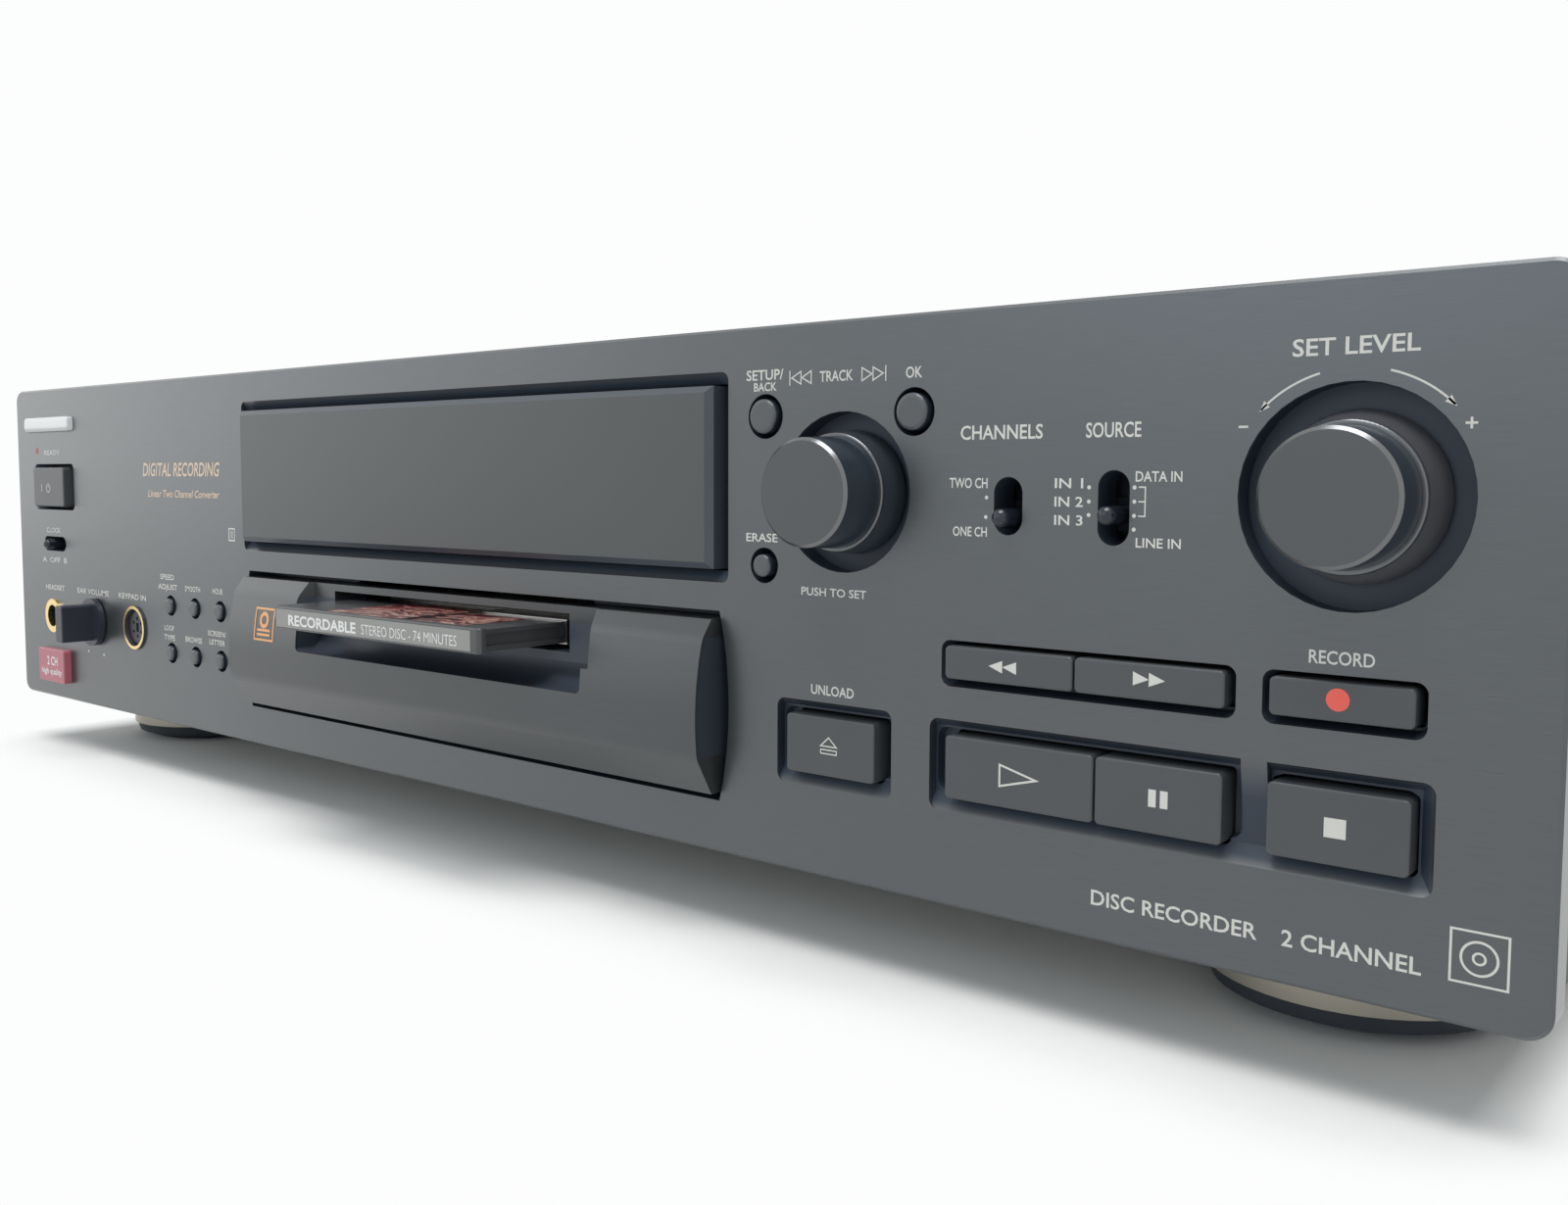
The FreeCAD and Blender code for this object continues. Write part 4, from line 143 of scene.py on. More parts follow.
class Finish:
    """A material with one main shader. Its methods add the nodes that feed it."""

    def __init__(self, name, **sockets):
        self.material = bpy.data.materials.new(name)
        self.material.use_nodes = True
        self.tree = self.material.node_tree
        self.tree.nodes.clear()
        self.shader = self.tree.nodes.new("ShaderNodeBsdfPrincipled")
        self.output = self.tree.nodes.new("ShaderNodeOutputMaterial")
        self.tree.links.new(self.shader.outputs[0], self.output.inputs[0])
        self.set(**sockets)

    def feed(self, socket, value):
        if isinstance(value, Wire):
            self.tree.links.new(value.socket, socket)
        else:
            socket.default_value = value

    def set(self, **sockets):
        """Sets the shader's sockets. base_color means Base Color; a colour has three numbers."""
        for name, value in sockets.items():
            if isinstance(value, tuple) and len(value) == 3:
                value = (*value, 1.0)
            self.feed(self.shader.inputs[name.replace("_", " ").title()], value)
        return self

    def add(self, kind, settings=None, values=(), out=0):
        """Adds a node: its settings first, then the values or wires of its sockets."""
        node = self.tree.nodes.new(kind)
        for name, value in (settings or {}).items():
            if name == "stops":
                ramp = node.color_ramp.elements
                while len(ramp) < len(value):
                    ramp.new(0.5)
                for element, (place, color) in zip(ramp, value):
                    element.position = place
                    element.color = (*color, 1.0)
            else:
                setattr(node, name, value)
        pairs = values.items() if isinstance(values, dict) else enumerate(values)
        for key, value in pairs:
            self.feed(node.inputs[key], value)
        return Wire(self, node.outputs[out])

    def place(self):
        """The piece's own coordinates in metres, as one vector."""
        return self.add("ShaderNodeTexCoord", out=3)

    def axes(self):
        """Millimetres from the fascia's corner, as three wires: x, y and z."""
        settings = {"operation": "SUBTRACT"}
        moved = self.add("ShaderNodeVectorMath", settings, (self.place(), tuple(panel_corner)))
        scaled = self.add("ShaderNodeVectorMath", {"operation": "SCALE"}, {0: moved, "Scale": 1 / MM})
        split = self.add("ShaderNodeSeparateXYZ", values=(scaled,))
        return [Wire(self, socket) for socket in split.socket.node.outputs]

    def noise(self, size_mm, stretch=(1, 1, 1), detail=3.0):
        """Smooth noise from 0 to 1 with blobs of about the given size, longer where stretch is."""
        scale = tuple(1 / length for length in stretch)
        vector = self.add("ShaderNodeVectorMath", {"operation": "MULTIPLY"}, (self.place(), scale))
        values = {"Vector": vector, "Scale": 1 / (size_mm * MM), "Detail": detail}
        return self.add("ShaderNodeTexNoise", values=values)

    def blend(self, share, first, second):
        """Goes from the first colour to the second as the share goes from 0 to 1."""
        colors = [value if isinstance(value, Wire) else (*value, 1.0) for value in (first, second)]
        values = {0: share, 6: colors[0], 7: colors[1]}
        return self.add("ShaderNodeMix", {"data_type": "RGBA"}, values, out=2)

    def ease(self, value, low, high):
        """Maps low to high onto 0 to 1, and holds it there outside."""
        return self.add("ShaderNodeMapRange", {"clamp": True}, (value, low, high, 0.0, 1.0))

    def band(self, value, low, high):
        """1 between low and high, and 0 outside."""
        return (value > low) * (value < high)

    def dents(self, height, depth_mm):
        """Lets a height from 0 to 1 catch the light as if it were that deep."""
        self.set(normal=self.add("ShaderNodeBump", values={"Distance": depth_mm * MM, "Height": height}))
        return self

    def glow(self, share, color):
        """Shows a plain glowing colour in place of the finish, as far as the share says."""
        light = self.add("ShaderNodeEmission", values=((*color, 1.0), 1.0))
        mixed = self.add("ShaderNodeMixShader", values=(share, Wire(self, self.shader.outputs[0]), light))
        self.feed(self.output.inputs[0], mixed)
        return self


def distance(across, up):
    """The length of a line from its two legs."""
    return (across * across + up * up) ** 0.5


def tinted(color, factor):
    """A colour made darker or paler."""
    return tuple(part * factor for part in color)


def coat(finish, *names):
    """Gives CAD pieces a finish."""
    for name in names:
        slots = nodes[name].data.materials
        slots.clear()
        slots.append(finish.material)


print("Shader maths is ready")

# %% [markdown]
# The fascia is anodised aluminium, brushed along its length, and the bulging block under the window
# is painted to match, though its colour is set darker as painted shade. Such a skin is half mirror:
# at the far left, where one looks along it, it turns pale and even shows the knobs beside it. That
# asks for a metallic share and a middling roughness. Deeper than the skin the pockets are black
# plastic, so the depth behind the face decides between the two, and no second piece is needed for
# the linings, whose black is lifted to navy as painted glare. The block's front is an arc through
# three measured heights, and the scoop inside that arc is darkened as painted shade, the shadow of
# the cartridge.

# %% Fascia metal
PLASTIC_BLACK = (0.024, 0.032, 0.045)
# The linings' black plastic, lifted to navy as painted glare; the block's scoop takes it as painted shade.
LINING_AND_SHADE = (0.026, 0.038, 0.058)
ANODISED = (0.096, 0.105, 0.112)


def anodised(name, color, metallic, coat_weight, lining_and_shade_of):
    """Hairline-brushed satin metal; lining_and_shade_of turns x, y and z in mm into the share of the black
    linings and of painted shade.
    """
    finish = Finish(name, coat_roughness=0.3)
    lining_and_shade = lining_and_shade_of(finish, *finish.axes())
    hairline = finish.noise(0.1, (60, 1, 1))
    cloud = finish.noise(70, detail=2.0)
    skin = finish.blend(finish.ease(cloud, 0.3, 0.7), tinted(color, 0.95), tinted(color, 1.05))
    skin = finish.blend(finish.ease(hairline, 0.35, 0.65), skin, tinted(color, 0.9))
    finish.set(base_color=finish.blend(lining_and_shade, skin, LINING_AND_SHADE))
    finish.set(metallic=metallic - metallic * lining_and_shade, coat_weight=coat_weight - coat_weight * lining_and_shade)
    finish.set(roughness=0.34 + 0.08 * (hairline - 0.5) + 0.04 * (cloud - 0.5) + 0.2 * lining_and_shade)
    return finish.dents(hairline, 0.0015)


panel_size = box_on_panel("front_panel")[1]


def pocket_lining(finish, x, y, z):
    """The skin gives way to the black linings over the first 0.9 mm of depth, but not on the outer rim."""
    inside = finish.band(x, 1, panel_size[0] - 1) * finish.band(z, 1, panel_size[2] - 1)
    return finish.ease(y, 0.05, 0.9) * inside


def circle_through(points):
    """Centre and radius of the circle through three points: equal distances give two equations."""
    (y1, z1), (y2, z2), (y3, z3) = points
    rows = np.array([[y2 - y1, z2 - z1], [y3 - y1, z3 - z1]]) * 2
    sums = np.array([y2**2 - y1**2 + z2**2 - z1**2, y3**2 - y1**2 + z3**2 - z1**2])
    center = np.linalg.solve(rows, sums)
    return center, math.hypot(y1 - center[0], z1 - center[1])


# Depth and height of the block's front at its upper crease, its middle and its lower crease.
BULGE = [(-4.2, 39.2), (-6.0, 28.57), (-5.7, 17.8)]
SLOT_LINING_Y = 4.0
bulge_center, bulge_radius = circle_through(BULGE)


def scoop_shade_and_slot_lining(finish, x, y, z):
    """The block's skin ends 0.6 mm inside its bulge, between the creases, where the scoop is darkened as
    painted shade, and deep in the slot, where the black linings begin.
    """
    inside = bulge_radius - distance(y - bulge_center[0], z - bulge_center[1])
    # Painted shade: the scoop under the cartridge takes 0.8 of the dark linings' colour.
    painted_scoop_shade = finish.ease(inside, 0.6, 0.7) * finish.band(z, BULGE[2][1], BULGE[0][1])
    return (painted_scoop_shade * 0.8).math("MAXIMUM", finish.ease(y, SLOT_LINING_Y, SLOT_LINING_Y + 0.1))


coat(anodised("fascia_metal", ANODISED, 0.75, 0.6, pocket_lining), "front_panel")
# Painted shade: the block's colour is the fascia's at 0.68 of its brightness.
coat(anodised("block_metal", tinted(ANODISED, 0.68), 0.6, 0.45, scoop_shade_and_slot_lining), "slot_block")
print("Brushed the fascia and the block, whose front bulges with a radius of",
      round(bulge_radius, 1), "mm")

# %% [markdown]
# The push keys are moulded in a slightly darker plastic than the fascia. Their faces have the fine
# even sparkle of an eroded mould, which is noise in the surface and in the gloss. The small levers
# and the phones knob are black and shinier, and the parts that slide inside are white.

# %% Moulded plastic
KEYS = ["menu_button", "yes_button", "clear_button", "eject_button", "rewind_button",
        "forward_button", "play_button", "pause_button", "stop_button", "record_button",
        "power_button"] + [f"small_key_{number}" for number in range(1, 7)]


def moulded(name, color, roughness, grain_mm=0.2, grain_depth_mm=0.006, black_from=None):
    """Moulded plastic: a fine even sparkle and a soft gloss, and black from a depth in mm on."""
    finish = Finish(name)
    grain = finish.noise(grain_mm, detail=1.0)
    wear = finish.noise(9)
    shade = finish.blend(wear, tinted(color, 0.9), tinted(color, 1.1))
    if black_from is not None:
        shade = finish.blend(finish.ease(finish.axes()[1], black_from, black_from + 0.1), shade,
                             PLASTIC_BLACK)
    finish.set(base_color=shade)
    finish.set(roughness=roughness + 0.1 * (grain - 0.5) + 0.06 * (wear - 0.5))
    return finish.dents(grain, grain_depth_mm)


KEY_GREY = (0.062, 0.067, 0.071)
ROUND_KEYS = ["menu_button", "yes_button", "clear_button"] + KEYS[-6:]
coat(moulded("key_plastic", KEY_GREY, 0.38), *[key for key in KEYS if key not in ROUND_KEYS])
round_face = box_on_panel("yes_button")[0][1]
# The round keys' sides, from 0.3 mm behind the face on, are painted black as the shade that falls on them.
coat(moulded("round_key_plastic", (0.080, 0.087, 0.092), 0.3, black_from=round_face + 0.3), *ROUND_KEYS)
coat(moulded("lever_plastic", (0.014, 0.018, 0.026), 0.16, 0.5, 0.002), "timer_lever",
     "record_mode_lever", "input_lever")
coat(moulded("knob_plastic", (0.024, 0.028, 0.042), 0.3), "phones_level_knob")
coat(moulded("black_plastic", PLASTIC_BLACK, 0.35), "turntable", "digital_jacks", "mains_inlet")
coat(moulded("white_plastic", (0.62, 0.61, 0.56), 0.45), "select_plunger", "loading_gear",
     "loading_pinion", "loading_slider")
print("Moulded", len(KEYS), "keys and the small levers")

# %% [markdown]
# The window is a thick block of smoked acrylic. It is polished, so nearly all that one sees of it
# is the pale room in its surface over a dark body. Its bevelled edges stay dark, because they
# mirror the black groove around them.

# %% Window
acrylic = Finish("window_acrylic")
haze = acrylic.noise(25, detail=4.0)
front_y = box_on_panel("display_window")[0][1]
front_face = acrylic.axes()[1] < front_y + 0.1
body = acrylic.blend(haze, (0.056, 0.062, 0.063), (0.062, 0.068, 0.070))
acrylic.set(base_color=acrylic.blend(front_face, (0.055, 0.065, 0.082), body))
acrylic.set(roughness=0.3 + 0.05 * haze)
coat(acrylic, "display_window")
print("Polished the window")

# %% [markdown]
# Both large knobs are turned and gloss black. The face is satin like the fascia, and two edges are
# cut bright: the bevel round the face and the shoulder. The cuts follow the knob's own axis, so
# they are masks of the distance from it and of the depth, and they turn with the knob unseen.

# %% Turned knobs
def knob_finish(name, node, face_radius, shoulder_y, black, flange):
    """Gloss black with bright cuts, masked by radius and depth from the knob's own axis."""
    finish = Finish(name)
    x, y, z = finish.axes()
    center = middle_on_panel(node)
    front = box_on_panel(node)[0][1]
    radius = distance(x - center[0], z - center[2])
    bevel = finish.band(radius, face_radius - 0.5, face_radius + 0.2) * (y < front + 0.5)
    shoulder = (radius > face_radius + 0.4) * finish.band(y, shoulder_y - 0.05, shoulder_y + 0.25)
    cut = (bevel + shoulder * 0.8).math("MINIMUM", 1.0)
    face = (radius < face_radius - 0.5) * (y < front + 0.2)
    swirl = finish.noise(0.3, detail=2.0)
    body = finish.blend(finish.ease(y, shoulder_y + 0.3, shoulder_y + 0.8), black, flange)
    body = finish.blend(face, body, (0.066, 0.071, 0.074))
    finish.set(base_color=finish.blend(cut, body, (0.17, 0.175, 0.18)), metallic=cut * 0.9)
    finish.set(roughness=0.2 + face * 0.18 + 0.04 * swirl)
    return finish


SHOULDER_Y = -2.6
coat(knob_finish("dial_black", "select_dial", 8.8, SHOULDER_Y, (0.028, 0.038, 0.050),
                 (0.04, 0.05, 0.06)), "select_dial")
coat(knob_finish("level_black", "record_level_knob", 8.9, SHOULDER_Y, (0.036, 0.046, 0.057),
                 (0.085, 0.085, 0.092)), "record_level_knob")
print("Turned the select dial and the recording level knob")

# %% [markdown]
# Metal comes in several guises: champagne paint on the feet, zinc-plated sheet inside, and plain
# steel on screws, rods and motors. One function makes them all from a colour, a roughness and the
# direction in which the metal was rolled or brushed. The feet are darker under their rim, where
# the photograph shows a black ring.

# %% Metals
def metal(name, color, roughness, stretch=(1, 1, 1), grain_mm=0.25, grain_depth_mm=0.003):
    """Bare or plated metal, brushed along the stretched direction."""
    finish = Finish(name, metallic=1.0)
    brush = finish.noise(grain_mm, stretch)
    tarnish = finish.noise(14)
    finish.set(base_color=finish.blend(tarnish, tinted(color, 0.86), color))
    finish.set(roughness=roughness + 0.16 * (brush - 0.5) + 0.1 * (tarnish - 0.5))
    return finish.dents(brush, grain_depth_mm)


def sheet_paint(name, color, roughness, metallic=0.0, grain_mm=0.5, grain_depth_mm=0.03):
    """Baked paint on sheet metal: a little cloudy, with the fine skin of an orange."""
    finish = Finish(name, metallic=metallic)
    cloud = finish.noise(60, detail=2.0)
    grain = finish.noise(grain_mm, detail=2.0)
    finish.set(base_color=finish.blend(cloud, tinted(color, 0.9), tinted(color, 1.1)))
    finish.set(roughness=roughness + 0.08 * (grain - 0.5) + 0.05 * (cloud - 0.5))
    return finish.dents(grain, grain_depth_mm)


STEEL = (0.48, 0.48, 0.49)
coat(metal("zinc_sheet", (0.52, 0.52, 0.50), 0.42, (6, 1, 1)), "base_chassis",
     "mechanism_chassis", "cartridge_holder")
coat(metal("plain_steel", STEEL, 0.3), "case_screws", "guide_rods", "sled_screw",
     "recording_head", "drive_motors")
coat(metal("cast_alloy", (0.38, 0.38, 0.39), 0.5), "pickup")
coat(metal("shutter_steel", (0.56, 0.56, 0.55), 0.32, (1, 14, 1)), "cartridge_shutter")
coat(sheet_paint("case_paint", (0.02, 0.021, 0.023), 0.5), "top_cover", "rear_panel")
coat(sheet_paint("foot_paint", (0.40, 0.37, 0.31), 0.36, 0.55, 0.2, 0.004), "feet")
coat(moulded("foot_rubber", (0.030, 0.036, 0.046), 0.6, 0.4, 0.02), "foot_pads")
print("Plated, brushed and painted the metal pieces")

# %% [markdown]
# A socket is gold only on its turned ring. Inside and behind it is dark plastic with bright
# contacts, so the gold is a mask again, this time of the radius from the socket's axis, and the
# same function serves the two front sockets and the jacks at the back.

# %% Sockets
GOLD = (0.93, 0.70, 0.33)


def socket_finish(name, places, gold_from, gold_to, y_from, y_to, core=PLASTIC_BLACK):
    """Black plastic with a gold ring of two radii at each place, within a range of depth in mm."""
    finish = Finish(name)
    x, y, z = finish.axes()
    gold = 0.0
    for middle_x, middle_z in places:
        gold = finish.band(distance(x - middle_x, z - middle_z), gold_from, gold_to) + gold
    gold = gold.math("MINIMUM", 1.0) * finish.band(y, y_from, y_to)
    polish = finish.noise(0.4)
    finish.set(base_color=finish.blend(gold, core, GOLD), metallic=gold)
    finish.set(roughness=0.34 - 0.12 * gold + 0.08 * (polish - 0.5))
    return finish.dents(polish, 0.002)


phones = middle_on_panel("phones_jack")
keyboard = middle_on_panel("keyboard_socket")
coat(socket_finish("phones_gold", [(phones[0], phones[2])], 3.2, 6.2, -2, 0.9), "phones_jack")
coat(socket_finish("keyboard_gold", [(keyboard[0], keyboard[2])], 5.25, 6.1, -2, 0.5,
                   (0.05, 0.052, 0.058)), "keyboard_socket")
LINE_JACKS = [(65, 44), (65, 26), (83, 44), (83, 26)]
COAX_JACK = (205, 26)
coat(socket_finish("line_gold", LINE_JACKS, 1.7, 4.3, 267.0, 290.0), "line_jacks")
print("Gilded the sockets at", np.round(phones[0], 1), "and", np.round(keyboard[0], 1), "mm")

# %% [markdown]
# Inside, the boards are green solder mask with copper tracks that show through it as slightly
# paler lines. Real tracks run straight and turn at right angles, so they come from a grid of two
# zigzags. Each board's parts stand off it and are black, so green is kept to the board's own
# thickness.

# %% Circuit boards
def circuit_board(name, axis, board_from, board_to):
    """Green mask with straight tracks within the board's thickness, black parts outside it."""
    finish = Finish(name)
    places = finish.axes()
    rows, columns = [places[i] for i in range(3) if i != axis]
    grid = (rows * 0.4).math("PINGPONG", 0.5) * (columns * 0.4).math("PINGPONG", 0.5)
    track = finish.ease(grid, 0.10, 0.12)
    board = finish.band(places[axis], board_from - 0.05, board_to + 0.05)
    green = finish.blend(track, (0.045, 0.17, 0.07), (0.02, 0.09, 0.035))
    finish.set(base_color=finish.blend(board, PLASTIC_BLACK, green))
    finish.set(roughness=0.32 + 0.2 * track * board)
    return finish


BOARD_THICK = 1.6
board_low, board_high = box_on_panel("display_board")
coat(circuit_board("control_board", 1, board_low[1], board_high[1]),
     "display_board", "control_board_left", "control_board_right")
main_board_z = box_on_panel("main_board")[0][2]
coat(circuit_board("main_board_green", 2, main_board_z, main_board_z + BOARD_THICK), "main_board")
coat(metal("core_varnish", (0.17, 0.15, 0.12), 0.5, (1, 1, 0.2), 0.35, 0.05), "power_transformer")
tube = Finish("tube_glass", base_color=(0.02, 0.035, 0.035), coat_weight=0.5)
coat(tube.set(roughness=0.08 + 0.04 * tube.noise(8)), "display_tube")
lens = Finish("standby_lens", base_color=(0.30, 0.035, 0.03))
coat(lens.set(roughness=0.4 + 0.1 * lens.noise(0.4)), "standby_lens")
coat(sheet_paint("badge_paint", (0.42, 0.12, 0.155), 0.3, 0.0, 0.3, 0.004), "badge")
print("Finished the boards, the tube, the lamp and the badge")

# %% [markdown]
# The disc shines through rainbow colours, because its groove is a fine grating. It hides in its
# cartridge here, but the finish is still right for whoever takes it out: thin rings of hue that
# depend on the distance from the centre, painted into its colour as a sheen.

# %% Disc and cartridge
disc_center = middle_on_panel("disc")
disc_finish = Finish("disc_mirror", metallic=1.0, coat_weight=0.5)
x, y, z = disc_finish.axes()
RAINBOW = [(0.25, (0.6, 0.45, 0.3)), (0.5, (0.35, 0.55, 0.4)), (0.75, (0.4, 0.4, 0.62)),
           (1.0, (0.6, 0.4, 0.5))]
hue = disc_finish.add("ShaderNodeValToRGB", {"stops": RAINBOW},
                      (distance(x - disc_center[0], y - disc_center[1]) / 33,))
disc_finish.set(base_color=hue, roughness=0.16 + 0.05 * disc_finish.noise(0.5))
coat(disc_finish, "disc")
coat(moulded("shell_plastic", (0.060, 0.063, 0.066), 0.2, 0.5, 0.002), "cartridge_shell")
print("Finished the disc and the cartridge's shell")

# %% [markdown]
# Printing is a film of ink a few hundredths of a millimetre thick. A flat mesh just in front of the
# surface does the same job, and stays sharp at any distance, which an image would not. Words are
# made as Blender text and turned into a mesh. Then they are stretched until the ends of the line
# and the height of its capitals fit a rectangle, because those four edges are what can be measured
# on the real print, whatever its typeface.

# %% Lettering
# The height of a capital of Blender's own typeface at size 1.
CAPITAL = 0.729


def new_piece(name, points, faces, body, finish):
    """A mesh object from points in metres, riding on a body."""
    mesh = bpy.data.meshes.new(name)
    mesh.from_pydata(np.asarray(points).tolist(), [], [list(face) for face in faces])
    mesh.update()
    piece = bpy.data.objects.new(name, mesh)
    bpy.context.scene.collection.objects.link(piece)
    mesh.materials.append(finish.material)
    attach(piece, body)
    return piece


def ink(name, color, roughness=0.45):
    """Printing ink: an even colour with a faintly mottled gloss and density."""
    finish = Finish(name)
    mottle = finish.noise(0.3)
    finish.set(base_color=finish.blend(mottle, tinted(color, 0.94), tinted(color, 1.06)))
    return finish.set(roughness=roughness + 0.1 * (mottle - 0.5))


label_ink = ink("label_ink", (0.60, 0.595, 0.55))
gold_ink = ink("gold_ink", (0.66, 0.51, 0.38))
bright_ink = ink("bright_ink", (0.72, 0.72, 0.70))
red_ink = ink("red_ink", (0.78, 0.11, 0.08))
orange_ink = ink("orange_ink", (0.74, 0.36, 0.14))


def letters(text, weight, slant):
    """The outlines of a line of text as flat points and faces; weight thickens every stroke."""
    curve = bpy.data.curves.new("letters", "FONT")
    curve.body = text
    curve.shear = slant
    curve.offset = weight
    curve.resolution_u = 3
    holder = bpy.data.objects.new("letters", curve)
    flat = bpy.data.meshes.new_from_object(holder)
    points = np.empty(len(flat.vertices) * 3)
    flat.vertices.foreach_get("co", points)
    faces = [tuple(face.vertices) for face in flat.polygons]
    bpy.data.objects.remove(holder)
    return points.reshape(-1, 3), faces


def words(name, text, ends, heights, finish=None, y=0.0, body="deck", weight=0.014, slant=0.0,
          rear=False):
    """Text whose ends and capitals fit the given edges in mm, facing forwards or backwards."""
    points, faces = letters(text, weight, slant)
    low, high = points[:, 0].min(), points[:, 0].max()
    share = (points[:, 0] - low) / (high - low)
    across = ends[1] - share * (ends[1] - ends[0]) if rear else ends[0] + share * (ends[1] - ends[0])
    up = heights[0] + points[:, 1] / CAPITAL * (heights[1] - heights[0])
    lift = PRINT_LIFT if rear else -PRINT_LIFT
    places = panel_corner + np.column_stack([across, np.full(len(up), y + lift), up]) * MM
    return new_piece(name, places, faces, body, finish or label_ink)


# Each label: its text, the ends of the line and the foot and top of its capitals.
LABELS = [
    ("SET LEVEL", (396.6, 412.3), (83.6, 85.9)),
    ("CHANNELS", (346.1, 360.3), (73.6, 75.8)),
    ("SOURCE", (367.3, 375.8), (73.6, 75.8)),
    ("TWO CH", (344.2, 351.0), (66.2, 67.8)),
    ("ONE CH", (344.9, 351.0), (58.8, 60.3)),
    ("IN 1", (362.4, 367.0), (66.3, 67.8)),
    ("IN 2", (362.4, 367.0), (63.6, 65.1)),
    ("IN 3", (362.4, 367.0), (60.9, 62.4)),
    ("DATA IN", (375.1, 382.0), (67.3, 68.8)),
    ("LINE IN", (375.3, 382.0), (58.0, 59.4)),
    ("UNLOAD", (317.0, 326.0), (31.2, 32.9)),
    ("RECORD", (399.9, 408.2), (43.8, 45.6)),
    ("SETUP/", (302.4, 310.7), (84.4, 86.2)),
    ("BACK", (304.1, 309.2), (82.5, 84.0)),
    ("TRACK", (318.5, 325.4), (83.6, 85.4)),
    ("OK", (335.8, 338.9), (83.5, 85.3)),
    ("ERASE", (302.4, 309.5), (56.6, 58.1)),
    ("PUSH TO SET", (314.8, 328.4), (47.9, 49.3)),
    ("DISC RECORDER", (369.5, 394.1), (5.4, 7.7)),
    ("2 CHANNEL", (397.4, 415.0), (5.4, 7.7)),
    ("READY", (19.2, 29.8), (73.8, 75.3)),
    ("CLOCK", (19.0, 28.7), (50.4, 51.9)),
    ("A  OFF  B", (15.6, 32.4), (41.3, 42.9)),
    ("HEADSET", (17.2, 30.1), (32.9, 34.5)),
    ("EAR VOLUME", (38.8, 58.9), (32.9, 34.5)),
    ("KEYPAD IN", (65.1, 81.3), (32.9, 34.5)),
    ("SPEED", (89.9, 97.6), (39.5, 41.0)),
    ("ADJUST", (88.6, 99.2), (36.8, 38.3)),
    ("SMOOTH", (103.4, 111.4), (36.9, 38.4)),
    ("HOUR", (117.8, 123.1), (37.0, 38.5)),
    ("LOOP", (91.5, 96.9), (25.6, 27.1)),
    ("TYPE", (91.2, 97.2), (23.0, 24.5)),
    ("BROWSE", (103.0, 111.8), (23.3, 24.8)),
    ("SCREEN/", (114.9, 124.2), (25.9, 27.3)),
    ("LETTER", (115.6, 123.6), (23.6, 25.0)),
]
for number, (text, ends, heights) in enumerate(LABELS):
    words(f"label_{number:02d}", text, ends, heights)
words("gold_line_upper", "DIGITAL RECORDING", (81.7, 123.0), (67.6, 71.3), gold_ink, slant=0.2)
words("gold_line_lower", "Linear Two Channel Converter", (84.4, 122.7), (61.9, 63.9), gold_ink, slant=0.2)
print("Printed", len(LABELS), "labels")

# %% [markdown]
# The signs on the keys are older than the words and the same on every deck: a triangle plays, two
# bars pause, a square stops. Filled signs are polygons. Outlined ones are ribbons, a strip of
# constant width along a line, whose inner and outer edges come from mitring each corner.

# %% Signs
def polygon(name, corners, y, body, finish=label_ink):
    """A filled sign from its corners in mm, anticlockwise as seen from the front."""
    points = [on_panel(x, y - PRINT_LIFT, z) for x, z in corners]
    return new_piece(name, points, [range(len(points))], body, finish)


def ribbon(name, line, width, y=0.0, body="deck", finish=label_ink, closed=False):
    """A strip along a line. Each corner moves out and in along the mitre of its two normals."""
    line = np.array(line, float)
    ahead = np.roll(line, -1, 0) - line
    behind = line - np.roll(line, 1, 0)
    if not closed:
        ahead[-1], behind[0] = behind[-1], ahead[0]
    ahead = ahead / np.linalg.norm(ahead, axis=1)[:, None]
    behind = behind / np.linalg.norm(behind, axis=1)[:, None]
    normal_a = np.column_stack([-ahead[:, 1], ahead[:, 0]])
    normal_b = np.column_stack([-behind[:, 1], behind[:, 0]])
    mitre = (normal_a + normal_b) / (1 + (normal_a * normal_b).sum(1))[:, None]
    left, right = line + mitre * width / 2, line - mitre * width / 2
    count = len(line)
    points = [on_panel(x, y - PRINT_LIFT, z) for x, z in np.vstack([left, right])]
    last = count if closed else count - 1
    faces = [(i, i + count, (i + 1) % count + count, (i + 1) % count) for i in range(last)]
    return new_piece(name, points, faces, body, finish)


def circle(middle_x, middle_z, radius, start=0.0, end=360.0, count=32):
    """Points on an arc, from the start angle to the end angle, anticlockwise."""
    whole = abs(end - start) == 360
    angles = np.radians(np.linspace(start, end, count, endpoint=not whole))
    return np.column_stack([middle_x + radius * np.cos(angles), middle_z + radius * np.sin(angles)])


def square(left, right, low, high):
    """The four corners of a rectangle, anticlockwise."""
    return [(left, low), (right, low), (right, high), (left, high)]


def arrow(back, tip, low, high):
    """A triangle from its back edge to its tip, anticlockwise whichever way it points."""
    corners = [(back, low), (tip, (low + high) / 2), (back, high)]
    return corners if tip > back else corners[::-1]


